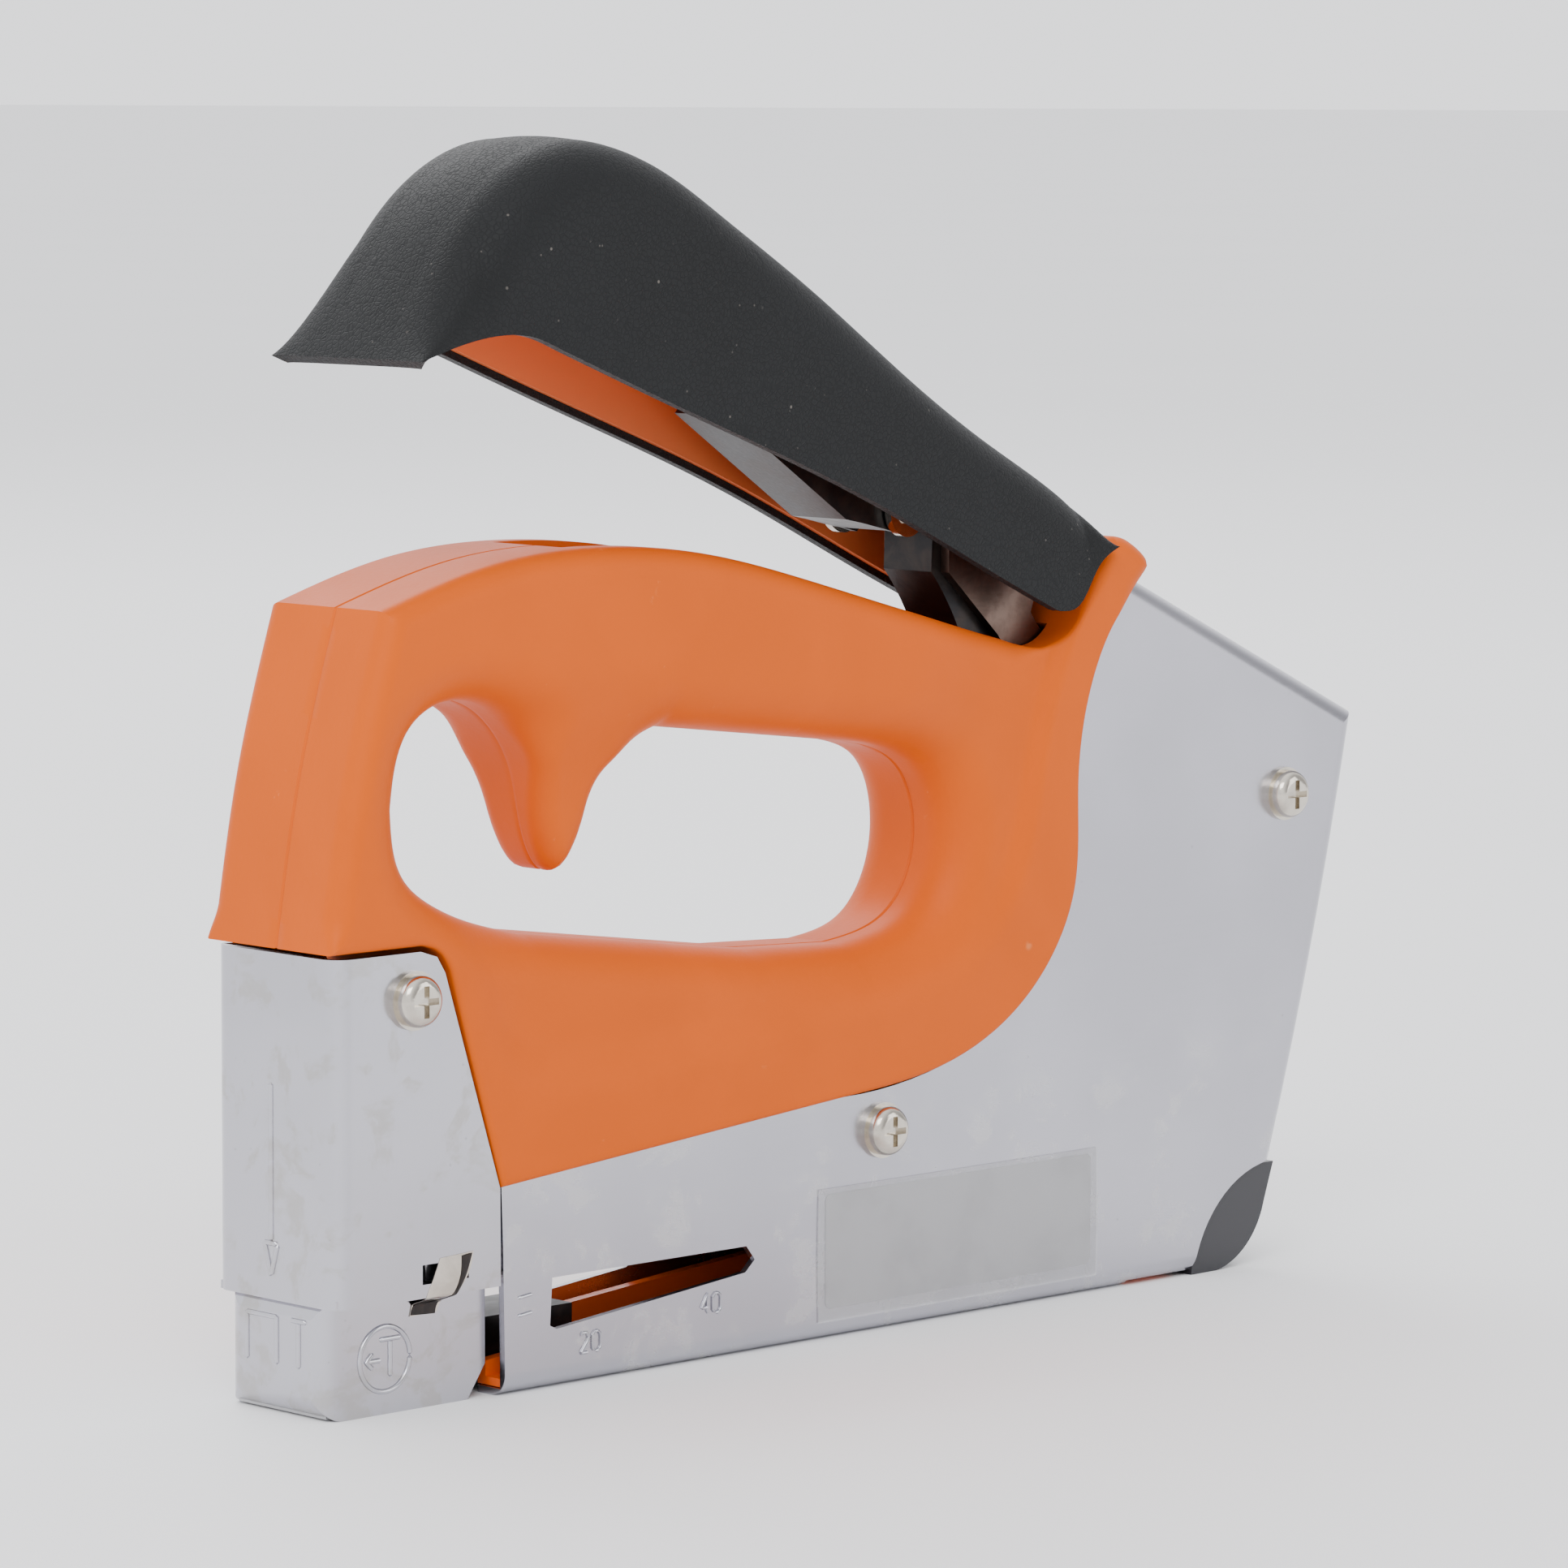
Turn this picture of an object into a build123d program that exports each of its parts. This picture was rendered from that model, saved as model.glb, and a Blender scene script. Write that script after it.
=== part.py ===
from build123d import *
import math
import os

# Forward-action staple gun, empty, lever up, standing on its flat base.
# Working frame: X runs back from the nose plate's front face, Y is sideways with
# -Y the screw-head side, and Z is up from the base.  publish() shifts every piece so
# that the origin ends up under the middle of the whole tool.  All sizes in millimetres.

# ---- overall sizes ----------------------------------------------------------
FRONT_X = -0.8          # foremost point, the foot of the grip's front column
REAR_X = 198.6          # rearmost point, the housing's top rear corner
MID_X = (FRONT_X + REAR_X) / 2
BODY_HALF = 12.4        # steel housing, half width
SHEET = 1.0             # housing sheet
BEND_R = 3.0            # outside bend radius of the housing
NOSE_HALF = 12.5        # nose plate above its step
NOSE_LOW_HALF = 10.0    # nose plate below its step
NOSE_SHEET = 1.1
NOSE_TOP = 60.5
STEP_Z = 15.0           # height of the step in the nose plate
HANDLE_HALF = 13.0      # moulded grip, half width
TONGUE_HALF = 11.3      # part of the grip that tucks in behind the steel
CAVITY_HALF = 9.8       # clear half width of the mechanism space
LEVER_HALF = 15.0       # lever, half width
RUBBER = 1.7            # rubber skin on the lever
LEVER_SHEET = 1.2       # lever's pressed channel

# ---- pivots, travels and ratios ---------------------------------------------
LEVER_PIVOT = (144.0, 83.0)
ROCKER_PIVOT = (112.0, 32.0)
LATCH_PIVOT = (109.0, 113.2)

# ---- fasteners --------------------------------------------------------------
SCREW_PLACES = [(13.0, 54.3), (98.8, 28.3), (181.6, 69.3)]
SHANK_R = 1.75
HOLE_R = 1.95
HEAD_R = 3.45
HEAD_H = 2.2
WASHER_R = 3.9
WASHER_H = 0.6
NUT_ACROSS = 7.0
NUT_H = 2.6
SCREW_OVERALL = 15.6    # how far the screws reach each side of the middle

# ---- magazine ---------------------------------------------------------------
ROD_Z = 3.8
ROD_R = 1.0
CHANNEL_HALF = 6.4      # inside half width of the liner
LINER_WALL = 1.6
ROOF_Z = 15.7


def side_face(outline):
    """Face in the XZ plane bounded by closed curves given in (x, z)."""
    return Plane.XZ * make_face(outline)


def poly(points):
    """Closed straight-sided outline through (x, z) points."""
    return Polyline(points, close=True)


def slab(face, low_y, high_y):
    """Extrude a side face from low_y to high_y."""
    return Pos(0, low_y, 0) * extrude(face, amount=high_y - low_y, dir=(0, 1, 0))


def block(x0, x1, y0, y1, z0, z1):
    """Box from its lowest to its highest corner."""
    middle = Pos((x0 + x1) / 2, (y0 + y1) / 2, (z0 + z1) / 2)
    return middle * Box(x1 - x0, y1 - y0, z1 - z0)


def rod_y(x, z, radius, y0, y1):
    """Round bar along Y."""
    return Pos(x, (y0 + y1) / 2, z) * Rot(90, 0, 0) * Cylinder(radius, y1 - y0)


def rod_x(x0, x1, y, z, radius):
    """Round bar along X."""
    return Pos((x0 + x1) / 2, y, z) * Rot(0, 90, 0) * Cylinder(radius, x1 - x0)


def pair(solid):
    """A piece and its mirror image across the middle plane."""
    return [solid, mirror(solid, about=Plane.XZ)]


def publish(name, *solids):
    """Write one sub-part, shifted so that the origin is under the tool's middle."""
    moved = [Pos(-MID_X, 0, 0) * solid for solid in solids]
    shape = moved[0] if len(moved) == 1 else Compound(children=moved)
    export_step(shape, os.path.join("parts", name + ".step"))


# ---- outlines ---------------------------------------------------------------
def grip_edge():
    """Seam between grip and housing, from the nose plate back and up to the collar."""
    foot = Line((28.4, 28.1), (91.5, 33.6))
    sweep = Spline([(91.5, 33.6), (112.2, 36.5), (128.5, 45.1), (137.2, 59.0), (137.8, 74.4),
                    (140.5, 88.1), (150.1, 102.6)])
    return foot, sweep


def housing_outline():
    """Whole side of the steel body, seam to base."""
    foot, sweep = grip_edge()
    top = Line((150.1, 102.6), (198.0, 80.5))
    rear = ThreePointArc((198.0, 80.5), (189.4, 44.0), (178.9, 9.2))
    corner = ThreePointArc((178.9, 9.2), (174.2, 2.3), (165.0, 0.0))
    base = Line((165.0, 0.0), (29.0, 0.0))
    front = Polyline([(29.0, 0.0), (29.0, 4.2), (28.7, 20.0), (28.4, 28.1)])
    return [foot, sweep, top, rear, corner, base, front]


def housing_cavity_outline():
    """Inside of the folded housing: one sheet in from base, rear and top."""
    return [Polyline([(20, 1.0), (165.0, 1.0), (173.5, 3.2), (177.9, 9.6), (185.0, 33.0)]),
            Spline([(185.0, 33.0), (191.6, 56.0), (196.6, 79.9)]),
            Polyline([(196.6, 79.9), (150.0, 101.4), (120.0, 101.4), (20.0, 60.0), (20, 1.0)])]


def window_outline(drop):
    """Tapered staple window; drop lowers its bottom edge."""
    return poly([(37.4, 15.0), (37.0, 8.6 - drop), (38.2, 8.0 - drop), (72.8, 11.4 - drop),
                 (74.6, 13.0), (73.0, 15.0)])


def cap_outline():
    """Rear lower corner taken up by the magazine's end cap."""
    heel = ThreePointArc((163.2, 0.0), (171.0, 12.2), (181.0, 15.3))
    back = Line((181.0, 15.3), (178.9, 9.2))
    corner = ThreePointArc((178.9, 9.2), (174.2, 2.3), (165.0, 0.0))
    return [heel, back, corner, Line((165.0, 0.0), (163.2, 0.0))]


def hole_outline():
    """Finger opening with its hanging finger rest, at the grip's middle plane."""
    return [Spline([(12.8, 79.0), (15.5, 88.0), (24.0, 92.0), (33.5, 89.5), (39.5, 81.5), (41.8, 72.5),
                    (45.6, 67.8), (49.2, 72.0), (51.8, 80.5), (61.0, 86.4)]),
            Line((61.0, 86.4), (100.0, 81.7)),
            Spline([(100.0, 81.7), (112.5, 77.0), (115.6, 67.0), (111.0, 57.5), (98.0, 53.6)]),
            Line((98.0, 53.6), (80.0, 54.4)),
            Line((80.0, 54.4), (38.0, 60.2)),
            Spline([(38.0, 60.2), (22.5, 65.0), (14.2, 71.5), (12.8, 79.0)])]


def grip_top():
    """Top line of the grip from its front shoulder to the lever bulkhead."""
    return Spline([(9.5, 104.8), (28.0, 109.8), (45.0, 111.3), (67.0, 109.6), (85.3, 105.4),
                   (109.0, 99.0), (133.4, 93.0)])


def grip_outline():
    """Visible side of the moulded grip, with the collar behind the lever."""
    foot, sweep = grip_edge()
    collar = Spline([(150.1, 102.6), (153.0, 103.4), (150.4, 106.6), (146.2, 108.4), (142.6, 106.6)])
    bulkhead = Spline([(142.6, 106.6), (138.9, 99.4), (133.4, 93.0)])
    front = Spline([(9.5, 104.8), (3.4, 84.0), (-0.8, 61.2)])
    nose = Polyline([(-0.8, 61.2), (14.8, 61.2), (17.6, 60.2), (19.4, 57.6), (28.4, 28.1)])
    return [foot, sweep, collar, bulkhead, grip_top(), front, nose]


def lever_crown(inset):
    """Crown line of the lever, front lip to rear end, moved inwards by inset."""
    crown = [(13.5, 138.0), (20.0, 147.6), (28.0, 157.3), (35.0, 162.4), (42.5, 164.9), (51.0, 164.3),
             (60.0, 161.2), (70.0, 155.6), (87.0, 145.3), (106.0, 132.6), (122.0, 123.0),
             (135.0, 115.9), (141.8, 110.6)]
    moved = []
    for i, (x, z) in enumerate(crown):
        ahead = crown[min(i + 1, len(crown) - 1)]
        behind = crown[max(i - 1, 0)]
        run = math.hypot(ahead[0] - behind[0], ahead[1] - behind[1])
        rise = (ahead[1] - behind[1]) / run
        fall = (ahead[0] - behind[0]) / run
        moved.append((x + inset * rise, z - inset * fall, 1 / fall))
    return moved


def arch(x, top, half_width, shoulder, shoulder_depth):
    """Upright section of the lever: square foot, rounded shoulders, nearly flat crown."""
    foot = 86.0
    low = top - shoulder_depth
    inner = half_width - shoulder
    right = [(half_width, low), (half_width, top - 0.45 * shoulder_depth),
             (half_width - 0.55 * shoulder, top - 0.1), (inner, top - 0.1)]
    left = [(-y, z) for y, z in reversed(right)]
    outline = [Polyline([(inner * -1, top - 0.1), (0, top + 0.3), (inner, top - 0.1)]), Bezier(*right),
               Polyline([(half_width, low), (half_width, foot), (-half_width, foot), (-half_width, low)]),
               Bezier(*left)]
    return Plane(origin=(x, 0, 0), x_dir=(0, 1, 0), z_dir=(1, 0, 0)) * make_face(outline)


def lever_body(half_width, inset, shoulder):
    """Solid lever form at one depth, lofted through upright arches along its crown."""
    sections = []
    for x, top, steep in lever_crown(inset):
        sections.append(arch(x, top, half_width, shoulder, shoulder * min(steep, 1.9)))
    return loft(sections)


def skirt_trim(overshoot):
    """Everything below the lever's lower edge, wider than the lever."""
    edge = Spline([(12.0, 137.4), (20.0, 139.6), (28.5, 140.9), (37.0, 137.7)])
    run = Spline([(37.0, 137.7), (61.1, 128.5), (94.7, 115.5), (121.9, 102.9), (131.0, 98.8)])
    tail = Spline([(131.0, 98.8), (134.5, 99.0), (139.6, 105.2), (143.5, 108.0)])
    under = Polyline([(143.5, 108.0), (170.0, 108.0), (170.0, 60.0), (0.0, 60.0), (0.0, 137.4), (12.0, 137.4)])
    return slab(side_face([edge, run, tail, under]), -overshoot, overshoot)


# ---- steel body --------------------------------------------------------------
def screw_bores(radius):
    """Bores for the three body screws right across the tool."""
    return [rod_y(x, z, radius, -20, 20) for x, z in SCREW_PLACES]


def housing():
    """Both folded half shells in one, before they are split."""
    outer = slab(side_face(housing_outline()), -BODY_HALF, BODY_HALF)
    soft = [e for e in outer.edges()
            if abs(abs(e.center().Y) - BODY_HALF) < 0.1
            and (e.center().Z < 1.5 or e.center().X > 170 or
                 (e.center().Z > 85 and e.center().X > 160))]
    outer = fillet(soft, BEND_R)
    inner = slab(side_face(housing_cavity_outline()), -(BODY_HALF - SHEET), BODY_HALF - SHEET)
    shell = outer - inner
    shell -= block(0, 200, -7.0, 7.0, -1, 1.5)
    shell -= slab(side_face(window_outline(0.0)), -20, 0)
    shell -= slab(side_face(window_outline(2.3)), 0, 20)
    shell -= slab(side_face(cap_outline()), -20, 20)
    shell -= block(150, 200, -11.4, 11.4, 0, 15.3)
    hook = block(16, 33, BODY_HALF - SHEET - 1.0, BODY_HALF - SHEET, 17.0, 25.0)
    for side in pair(hook):
        shell += side
    for bore in screw_bores(HOLE_R)[1:]:
        shell -= bore
    return shell


def housing_half(side):
    """One half shell; side is -1 for the screw-head side."""
    keep = block(-10, 210, 0.02, 30, -5, 120)
    return housing() & (keep if side > 0 else mirror(keep, about=Plane.XZ))


def nose_plate():
    """U-shaped plate folded round the nose, stepped in at the bottom."""
    side = poly([(0, STEP_Z), (0, NOSE_TOP), (14.4, NOSE_TOP), (17.2, 59.6), (18.6, 57.4),
                 (28.1, 28.0), (28.2, STEP_Z)])
    upper = slab(side_face(side), -NOSE_HALF, NOSE_HALF)
    upper = fillet([e for e in upper.edges() if abs(e.center().X) < 0.01 and e.length > 40], 3.0)
    upper -= block(NOSE_SHEET, 40, -(NOSE_HALF - NOSE_SHEET), NOSE_HALF - NOSE_SHEET, STEP_Z, 70)
    low = poly([(0, 0), (0, STEP_Z + 1), (27.6, STEP_Z + 1), (27.6, 4.5), (24.5, 0)])
    lower = slab(side_face(low), -NOSE_LOW_HALF, NOSE_LOW_HALF)
    lower = fillet([e for e in lower.edges() if abs(e.center().X) < 0.01 and e.length > 14], 3.0)
    inside = NOSE_LOW_HALF - NOSE_SHEET
    lower -= block(NOSE_SHEET, 40, -inside, inside, -1, 20)
    ledge = block(0.6, 28.0, -NOSE_HALF + 0.8, NOSE_HALF - 0.8, STEP_Z, STEP_Z + NOSE_SHEET)
    ledge -= block(NOSE_SHEET, 40, -inside, inside, 10, 20)
    plate = upper + lower + ledge
    for slot in pair(block(14.6, 22.6, inside, 20, 16.8, 19.4)):
        plate -= slot
    plate -= screw_bores(HOLE_R)[0]
    return plate


def label():
    """Blank grey label with its clear film, on the screw-head side."""
    plate = block(88.0, 141.0, -BODY_HALF - 0.15, -BODY_HALF, 4.4, 20.4)
    return fillet([e for e in plate.edges() if abs(e.length - 0.15) < 0.01], 1.0)


# ---- grip --------------------------------------------------------------------
def mechanism_space():
    """Room inside the grip for rocker, lever arm and lever brackets."""
    band = slab(side_face(poly([(7.5, 17.0), (7.5, 52.0), (30.0, 52.0), (78.0, 49.5), (104.0, 49.0),
                                (104.0, 17.0)])), -CAVITY_HALF, CAVITY_HALF)
    rear = slab(side_face(poly([(103.9, 17.0), (103.9, 49.0), (119.5, 56.0), (120.5, 76.0), (116.0, 84.0),
                                (112.0, 88.0), (137.2, 88.0), (146.0, 93.0), (160.0, 92.0), (160.0, 17.0)])),
                -CAVITY_HALF, CAVITY_HALF)
    slot = slab(side_face(poly([(44.0, 120.0), (44.0, 92.0), (60.0, 90.0), (112.0, 85.5), (150.0, 80.0),
                                (152.0, 93.5), (141.0, 94.5), (136.4, 96.6), (134.0, 99.0), (134.0, 120.0)])),
                -6.9, 6.9)
    return band + rear + slot


def grip():
    """Whole moulding before it is split: outer skin, tongue behind the steel, hollow inside."""
    skin = slab(side_face(grip_outline()), -HANDLE_HALF, HANDLE_HALF)
    tongue_side = poly([(9.0, 26.5), (9.0, 60.0), (30.0, 60.0), (100.0, 50.0), (120.0, 60.0), (125.0, 90.0),
                        (140.0, 99.0), (149.0, 100.4), (147.0, 88.0), (144.5, 72.0), (143.5, 56.0),
                        (134.0, 41.0), (118.0, 31.0), (92.0, 26.5)])
    tongue = slab(side_face(tongue_side), -TONGUE_HALF, TONGUE_HALF)
    column_foot = block(1.3, 20, -TONGUE_HALF, TONGUE_HALF, 58.4, 62)
    body = skin + tongue + column_foot
    body -= slab(side_face(hole_outline()), -20, 20)
    body -= mechanism_space()
    for bore in screw_bores(HOLE_R)[:2]:
        body -= bore
    return body


def grip_half(whole, side):
    """One moulded half of the grip."""
    keep = block(-10, 210, 0.02, 30, -5, 130)
    return whole & (keep if side > 0 else mirror(keep, about=Plane.XZ))


# ---- fixed inner pieces -------------------------------------------------------
def blade_guide():
    """Block in the nose with the striker's slot and a window for the rocker's tip."""
    body = block(1.2, 6.8, -8.8, 8.8, 0.3, 57.5)
    body -= block(2.4, 4.0, -6.0, 6.0, -1, 60)
    body -= block(4.0, 8.0, -3.4, 3.4, 22.0, 54.0)
    body -= block(4.0, 8.0, -6.0, 6.0, 1.0, 15.0)
    return body


def magazine_liner():
    """Moulded channel the staples run in; its side walls rise towards the rear."""
    wall = poly([(29.5, 1.1), (29.5, 4.3), (160.0, 15.2), (160.0, 1.1)])
    outside = CHANNEL_HALF + LINER_WALL
    liner = slab(side_face(wall), CHANNEL_HALF, outside)
    foot = block(29.5, 160.0, outside - 0.2, BODY_HALF - SHEET - 0.1, 1.1, 2.2)
    return pair(liner + foot)


def magazine_roof():
    """Steel plate over the staple channel."""
    return block(8.0, 160.0, -8.7, 8.7, ROOF_Z, ROOF_Z + 1.0)


def mechanism_plates():
    """Side plates inside the housing that carry both pivot pins and the spring seat."""
    outline = poly([(104.8, 22.0), (120.0, 19.0), (176.0, 19.0), (181.0, 30.0), (187.0, 50.0),
                    (190.5, 74.0), (186.0, 79.0), (160.0, 90.0), (150.5, 91.5), (146.0, 72.0), (145.0, 56.0),
                    (135.5, 40.5), (119.0, 29.8), (104.8, 25.6)])
    plate = slab(side_face(outline), CAVITY_HALF, TONGUE_HALF)
    lobe = rod_y(LEVER_PIVOT[0], LEVER_PIVOT[1], 7.0, CAVITY_HALF - 1.5, CAVITY_HALF)
    arm = slab(side_face(poly([(138.0, 79.0), (138.0, 87.0), (156.0, 90.0), (156.0, 78.0)])),
               CAVITY_HALF - 1.5, CAVITY_HALF)
    boss = rod_y(ROCKER_PIVOT[0], ROCKER_PIVOT[1], 6.5, CAVITY_HALF - 1.5, CAVITY_HALF)
    strap = slab(side_face(poly([(107.0, 19.5), (107.0, 33.0), (117.0, 33.0), (122.0, 26.0), (122.0, 19.5)])),
                 CAVITY_HALF - 1.5, CAVITY_HALF)
    plate = plate + lobe + arm + boss + strap
    plate -= rod_y(LEVER_PIVOT[0], LEVER_PIVOT[1], 3.05, 0, 20)
    plate -= rod_y(ROCKER_PIVOT[0], ROCKER_PIVOT[1], 3.05, 0, 20)
    plate -= screw_bores(HOLE_R)[2]
    return plate


def pivot_pin(place):
    """Pin across both mechanism plates."""
    return rod_y(place[0], place[1], 3.0, -CAVITY_HALF, CAVITY_HALF)


def spring_seat():
    """Cup that the power spring pushes back against, held between the plates."""
    cup = block(174.0, 177.0, -CAVITY_HALF + 0.1, CAVITY_HALF - 0.1, 48.0, 72.0)
    cup += rod_x(168.0, 174.0, 0, 60.0, 4.2)
    return cup


def coil(radius, wire, pitch, length):
    """Round-wire helical spring along Z, standing on the origin."""
    path = Helix(pitch=pitch, height=length, radius=radius)
    section = Plane(origin=path @ 0, z_dir=path % 0) * Circle(wire)
    return sweep(section, path=path)


def power_spring():
    """Heavy compression spring from the rocker's horn back to its seat."""
    return Pos(140.6, 0, 60.0) * Rot(0, 90, 0) * coil(6.2, 0.95, 4.1, 32.0)


def lever_spring():
    """Torsion spring on the lever pin that lifts the lever again."""
    return Pos(LEVER_PIVOT[0], -3.9, LEVER_PIVOT[1]) * Rot(-90, 0, 0) * coil(4.2, 0.55, 1.3, 7.6)


# ---- lever --------------------------------------------------------------------
def lever_pieces():
    """Rubber skin, pressed channel and the inlay let into the skin's crown."""
    trim = skirt_trim(30)
    outer = lever_body(LEVER_HALF, 0.0, 8.0) - trim
    middle = lever_body(LEVER_HALF - RUBBER, RUBBER, 6.4)
    depth = RUBBER + LEVER_SHEET
    inner = lever_body(LEVER_HALF - depth, depth, 5.2)
    rear_way = block(128, 160, -11.0, 11.0, 80, 107.5)
    skin = outer - middle - rear_way
    inlay_cut = block(54.0, 96.0, -3.4, 3.4, 140, 170)
    inlay = skin & inlay_cut
    skin = skin - inlay_cut
    channel = (middle & outer) - inner - rear_way
    return skin, channel, inlay, inner


def lever_bracket():
    """Side plate from under the channel's crown down to the lever pin, on the far side."""
    outline = poly([(117.6, 130.0), (134.5, 126.0), (136.5, 104.5), (134.2, 98.0), (139.0, 91.8),
                    (149.5, 88.6), (151.5, 83.0), (149.0, 77.0), (143.0, 75.2), (137.0, 79.0), (134.0, 86.6),
                    (127.5, 95.2), (117.6, 104.4)])
    plate = slab(side_face(outline), 4.8, 6.4)
    return plate - rod_y(LEVER_PIVOT[0], LEVER_PIVOT[1], 3.05, 0, 20)


def cam_arm():
    """Curved arm between the brackets; its round end pushes the rocker's horn."""
    brow = Line((116.8, 130.0), (115.8, 104.5))
    front = Spline([(115.8, 104.5), (119.8, 99.0), (123.8, 88.0), (122.4, 76.0), (123.0, 61.0)])
    toe = ThreePointArc((123.0, 61.0), (127.0, 57.0), (131.0, 61.0))
    back = Spline([(131.0, 61.0), (129.4, 70.0), (131.5, 80.0), (132.2, 95.0), (128.0, 126.0)])
    return slab(side_face([brow, front, toe, back, Line((128.0, 126.0), (116.8, 130.0))]), -4.7, 4.7)


def lock_latch():
    """Pressed latch under the lever that drops into the grip to hold the lever shut."""
    web = poly([(76.0, 127.6), (77.4, 128.9), (108.0, 118.2), (112.0, 115.6), (112.4, 112.4),
                (110.0, 110.0), (101.4, 112.0), (98.4, 112.6)])
    body = slab(side_face(web), -5.4, 5.4)
    body -= slab(side_face(poly([(79.5, 129.5), (81.0, 126.6), (99.0, 114.2), (118.0, 106.0),
                                 (118.0, 122.0)])), -4.2, 4.2)
    return body - rod_y(LATCH_PIVOT[0], LATCH_PIVOT[1], 1.65, -20, 20)


def latch_lug():
    """Ear welded under the channel that carries one end of the latch pin."""
    x, z = LATCH_PIVOT
    ear = rod_y(x, z, 3.4, 5.7, 6.9) + block(x - 3.4, x + 3.4, 5.7, 6.9, z, 140.0)
    return ear - rod_y(x, z, 1.6, -20, 20)


def latch_pin():
    """Bright pin that the latch turns on, headed at both ends."""
    return rod_y(LATCH_PIVOT[0], LATCH_PIVOT[1], 1.6, -7.5, 7.5)


# ---- rocker and striker ---------------------------------------------------------
def rocker():
    """Bell crank: long arm forward to the striker, horn up to the lever's arm."""
    arm = poly([(3.0, 29.6), (3.0, 34.4), (16.0, 37.0), (60.0, 43.0), (98.0, 42.4), (112.0, 43.0),
                (132.5, 58.5), (132.5, 65.0), (134.8, 67.0), (138.9, 66.0), (139.6, 53.0), (124.0, 40.0),
                (119.0, 29.0), (112.0, 25.0), (104.5, 29.0), (102.5, 33.2), (60.0, 33.4), (14.0, 30.0)])
    plate = slab(side_face(arm), -2.3, 2.3)
    hub = rod_y(ROCKER_PIVOT[0], ROCKER_PIVOT[1], 5.5, -8.1, 8.1)
    pad = block(135.0, 139.4, -6.8, 6.8, 54.0, 66.0)
    return plate + hub + pad - rod_y(ROCKER_PIVOT[0], ROCKER_PIVOT[1], 3.06, -20, 20)


def striker_blade():
    """Thin blade that drives the staple, with a window for the rocker's tip."""
    blade = block(2.65, 3.75, -5.7, 5.7, 1.2, 42.0)
    return blade - block(0, 10, -2.7, 2.7, 28.4, 35.8)


# ---- magazine -------------------------------------------------------------------
def magazine_rail():
    """Steel floor of the carrier, with low lips, that pulls out with the cap."""
    rail = block(9.0, 166.0, -5.6, 5.6, 0.6, 1.5)
    return rail


def guide_rod():
    """Rod that the pusher and its spring slide on."""
    return rod_x(12.0, 166.0, 0, ROD_Z, ROD_R)


def end_cap():
    """Glossy cap at the heel that locks the magazine in."""
    heel = slab(side_face(cap_outline()), -BODY_HALF + 0.5, BODY_HALF - 0.5)
    heel = heel & block(150, 200, -20, 20, -1, 14.9)
    plug = block(160.3, 172.0, -6.1, 6.1, 1.6, 13.5)
    cap = heel + plug
    cap -= rod_x(150.0, 166.2, 0, ROD_Z, ROD_R + 0.02)
    cap -= block(150, 166.1, -5.7, 5.7, 0.0, 1.6)
    return cap


def pusher():
    """Follower that presses the staples forward."""
    side = poly([(9.0, 2.0), (9.0, 14.2), (26.0, 14.2), (30.0, 9.6), (47.0, 9.6), (47.0, 2.0)])
    body = slab(side_face(side), -5.7, 5.7)
    return body - rod_x(0, 60, 0, ROD_Z, ROD_R + 0.06)


def pusher_spring():
    """Long light spring on the guide rod behind the pusher."""
    return Pos(47.6, 0, ROD_Z) * Rot(0, 90, 0) * coil(1.45, 0.24, 2.8, 112.0)


# ---- fasteners --------------------------------------------------------------------
def body_screw(x, z, near_face):
    """Pan-head cross-recess screw from the screw-head side right through."""
    seat = -near_face - WASHER_H
    head = rod_y(x, z, HEAD_R, seat - HEAD_H, seat)
    head = fillet([e for e in head.edges() if abs(e.center().Y - (seat - HEAD_H)) < 0.01], 1.5)
    cross = block(x - 2.1, x + 2.1, seat - HEAD_H - 1, seat - HEAD_H + 1.1, z - 0.45, z + 0.45)
    cross += block(x - 0.45, x + 0.45, seat - HEAD_H - 1, seat - HEAD_H + 1.1, z - 2.1, z + 2.1)
    return head + rod_y(x, z, SHANK_R, seat, SCREW_OVERALL) - cross


def washer(x, z, near_face):
    """Flat washer under a screw head."""
    ring = rod_y(x, z, WASHER_R, -near_face - WASHER_H, -near_face)
    return ring - rod_y(x, z, SHANK_R, -20, 20)


def nut(x, z, far_face):
    """Hexagon nut on the far side."""
    hexagon = extrude(Plane.XZ * RegularPolygon(NUT_ACROSS / 2, 6, major_radius=False),
                      amount=NUT_H, dir=(0, 1, 0))
    return Pos(x, far_face, z) * hexagon - rod_y(x, z, SHANK_R, -20, 20)


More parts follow.
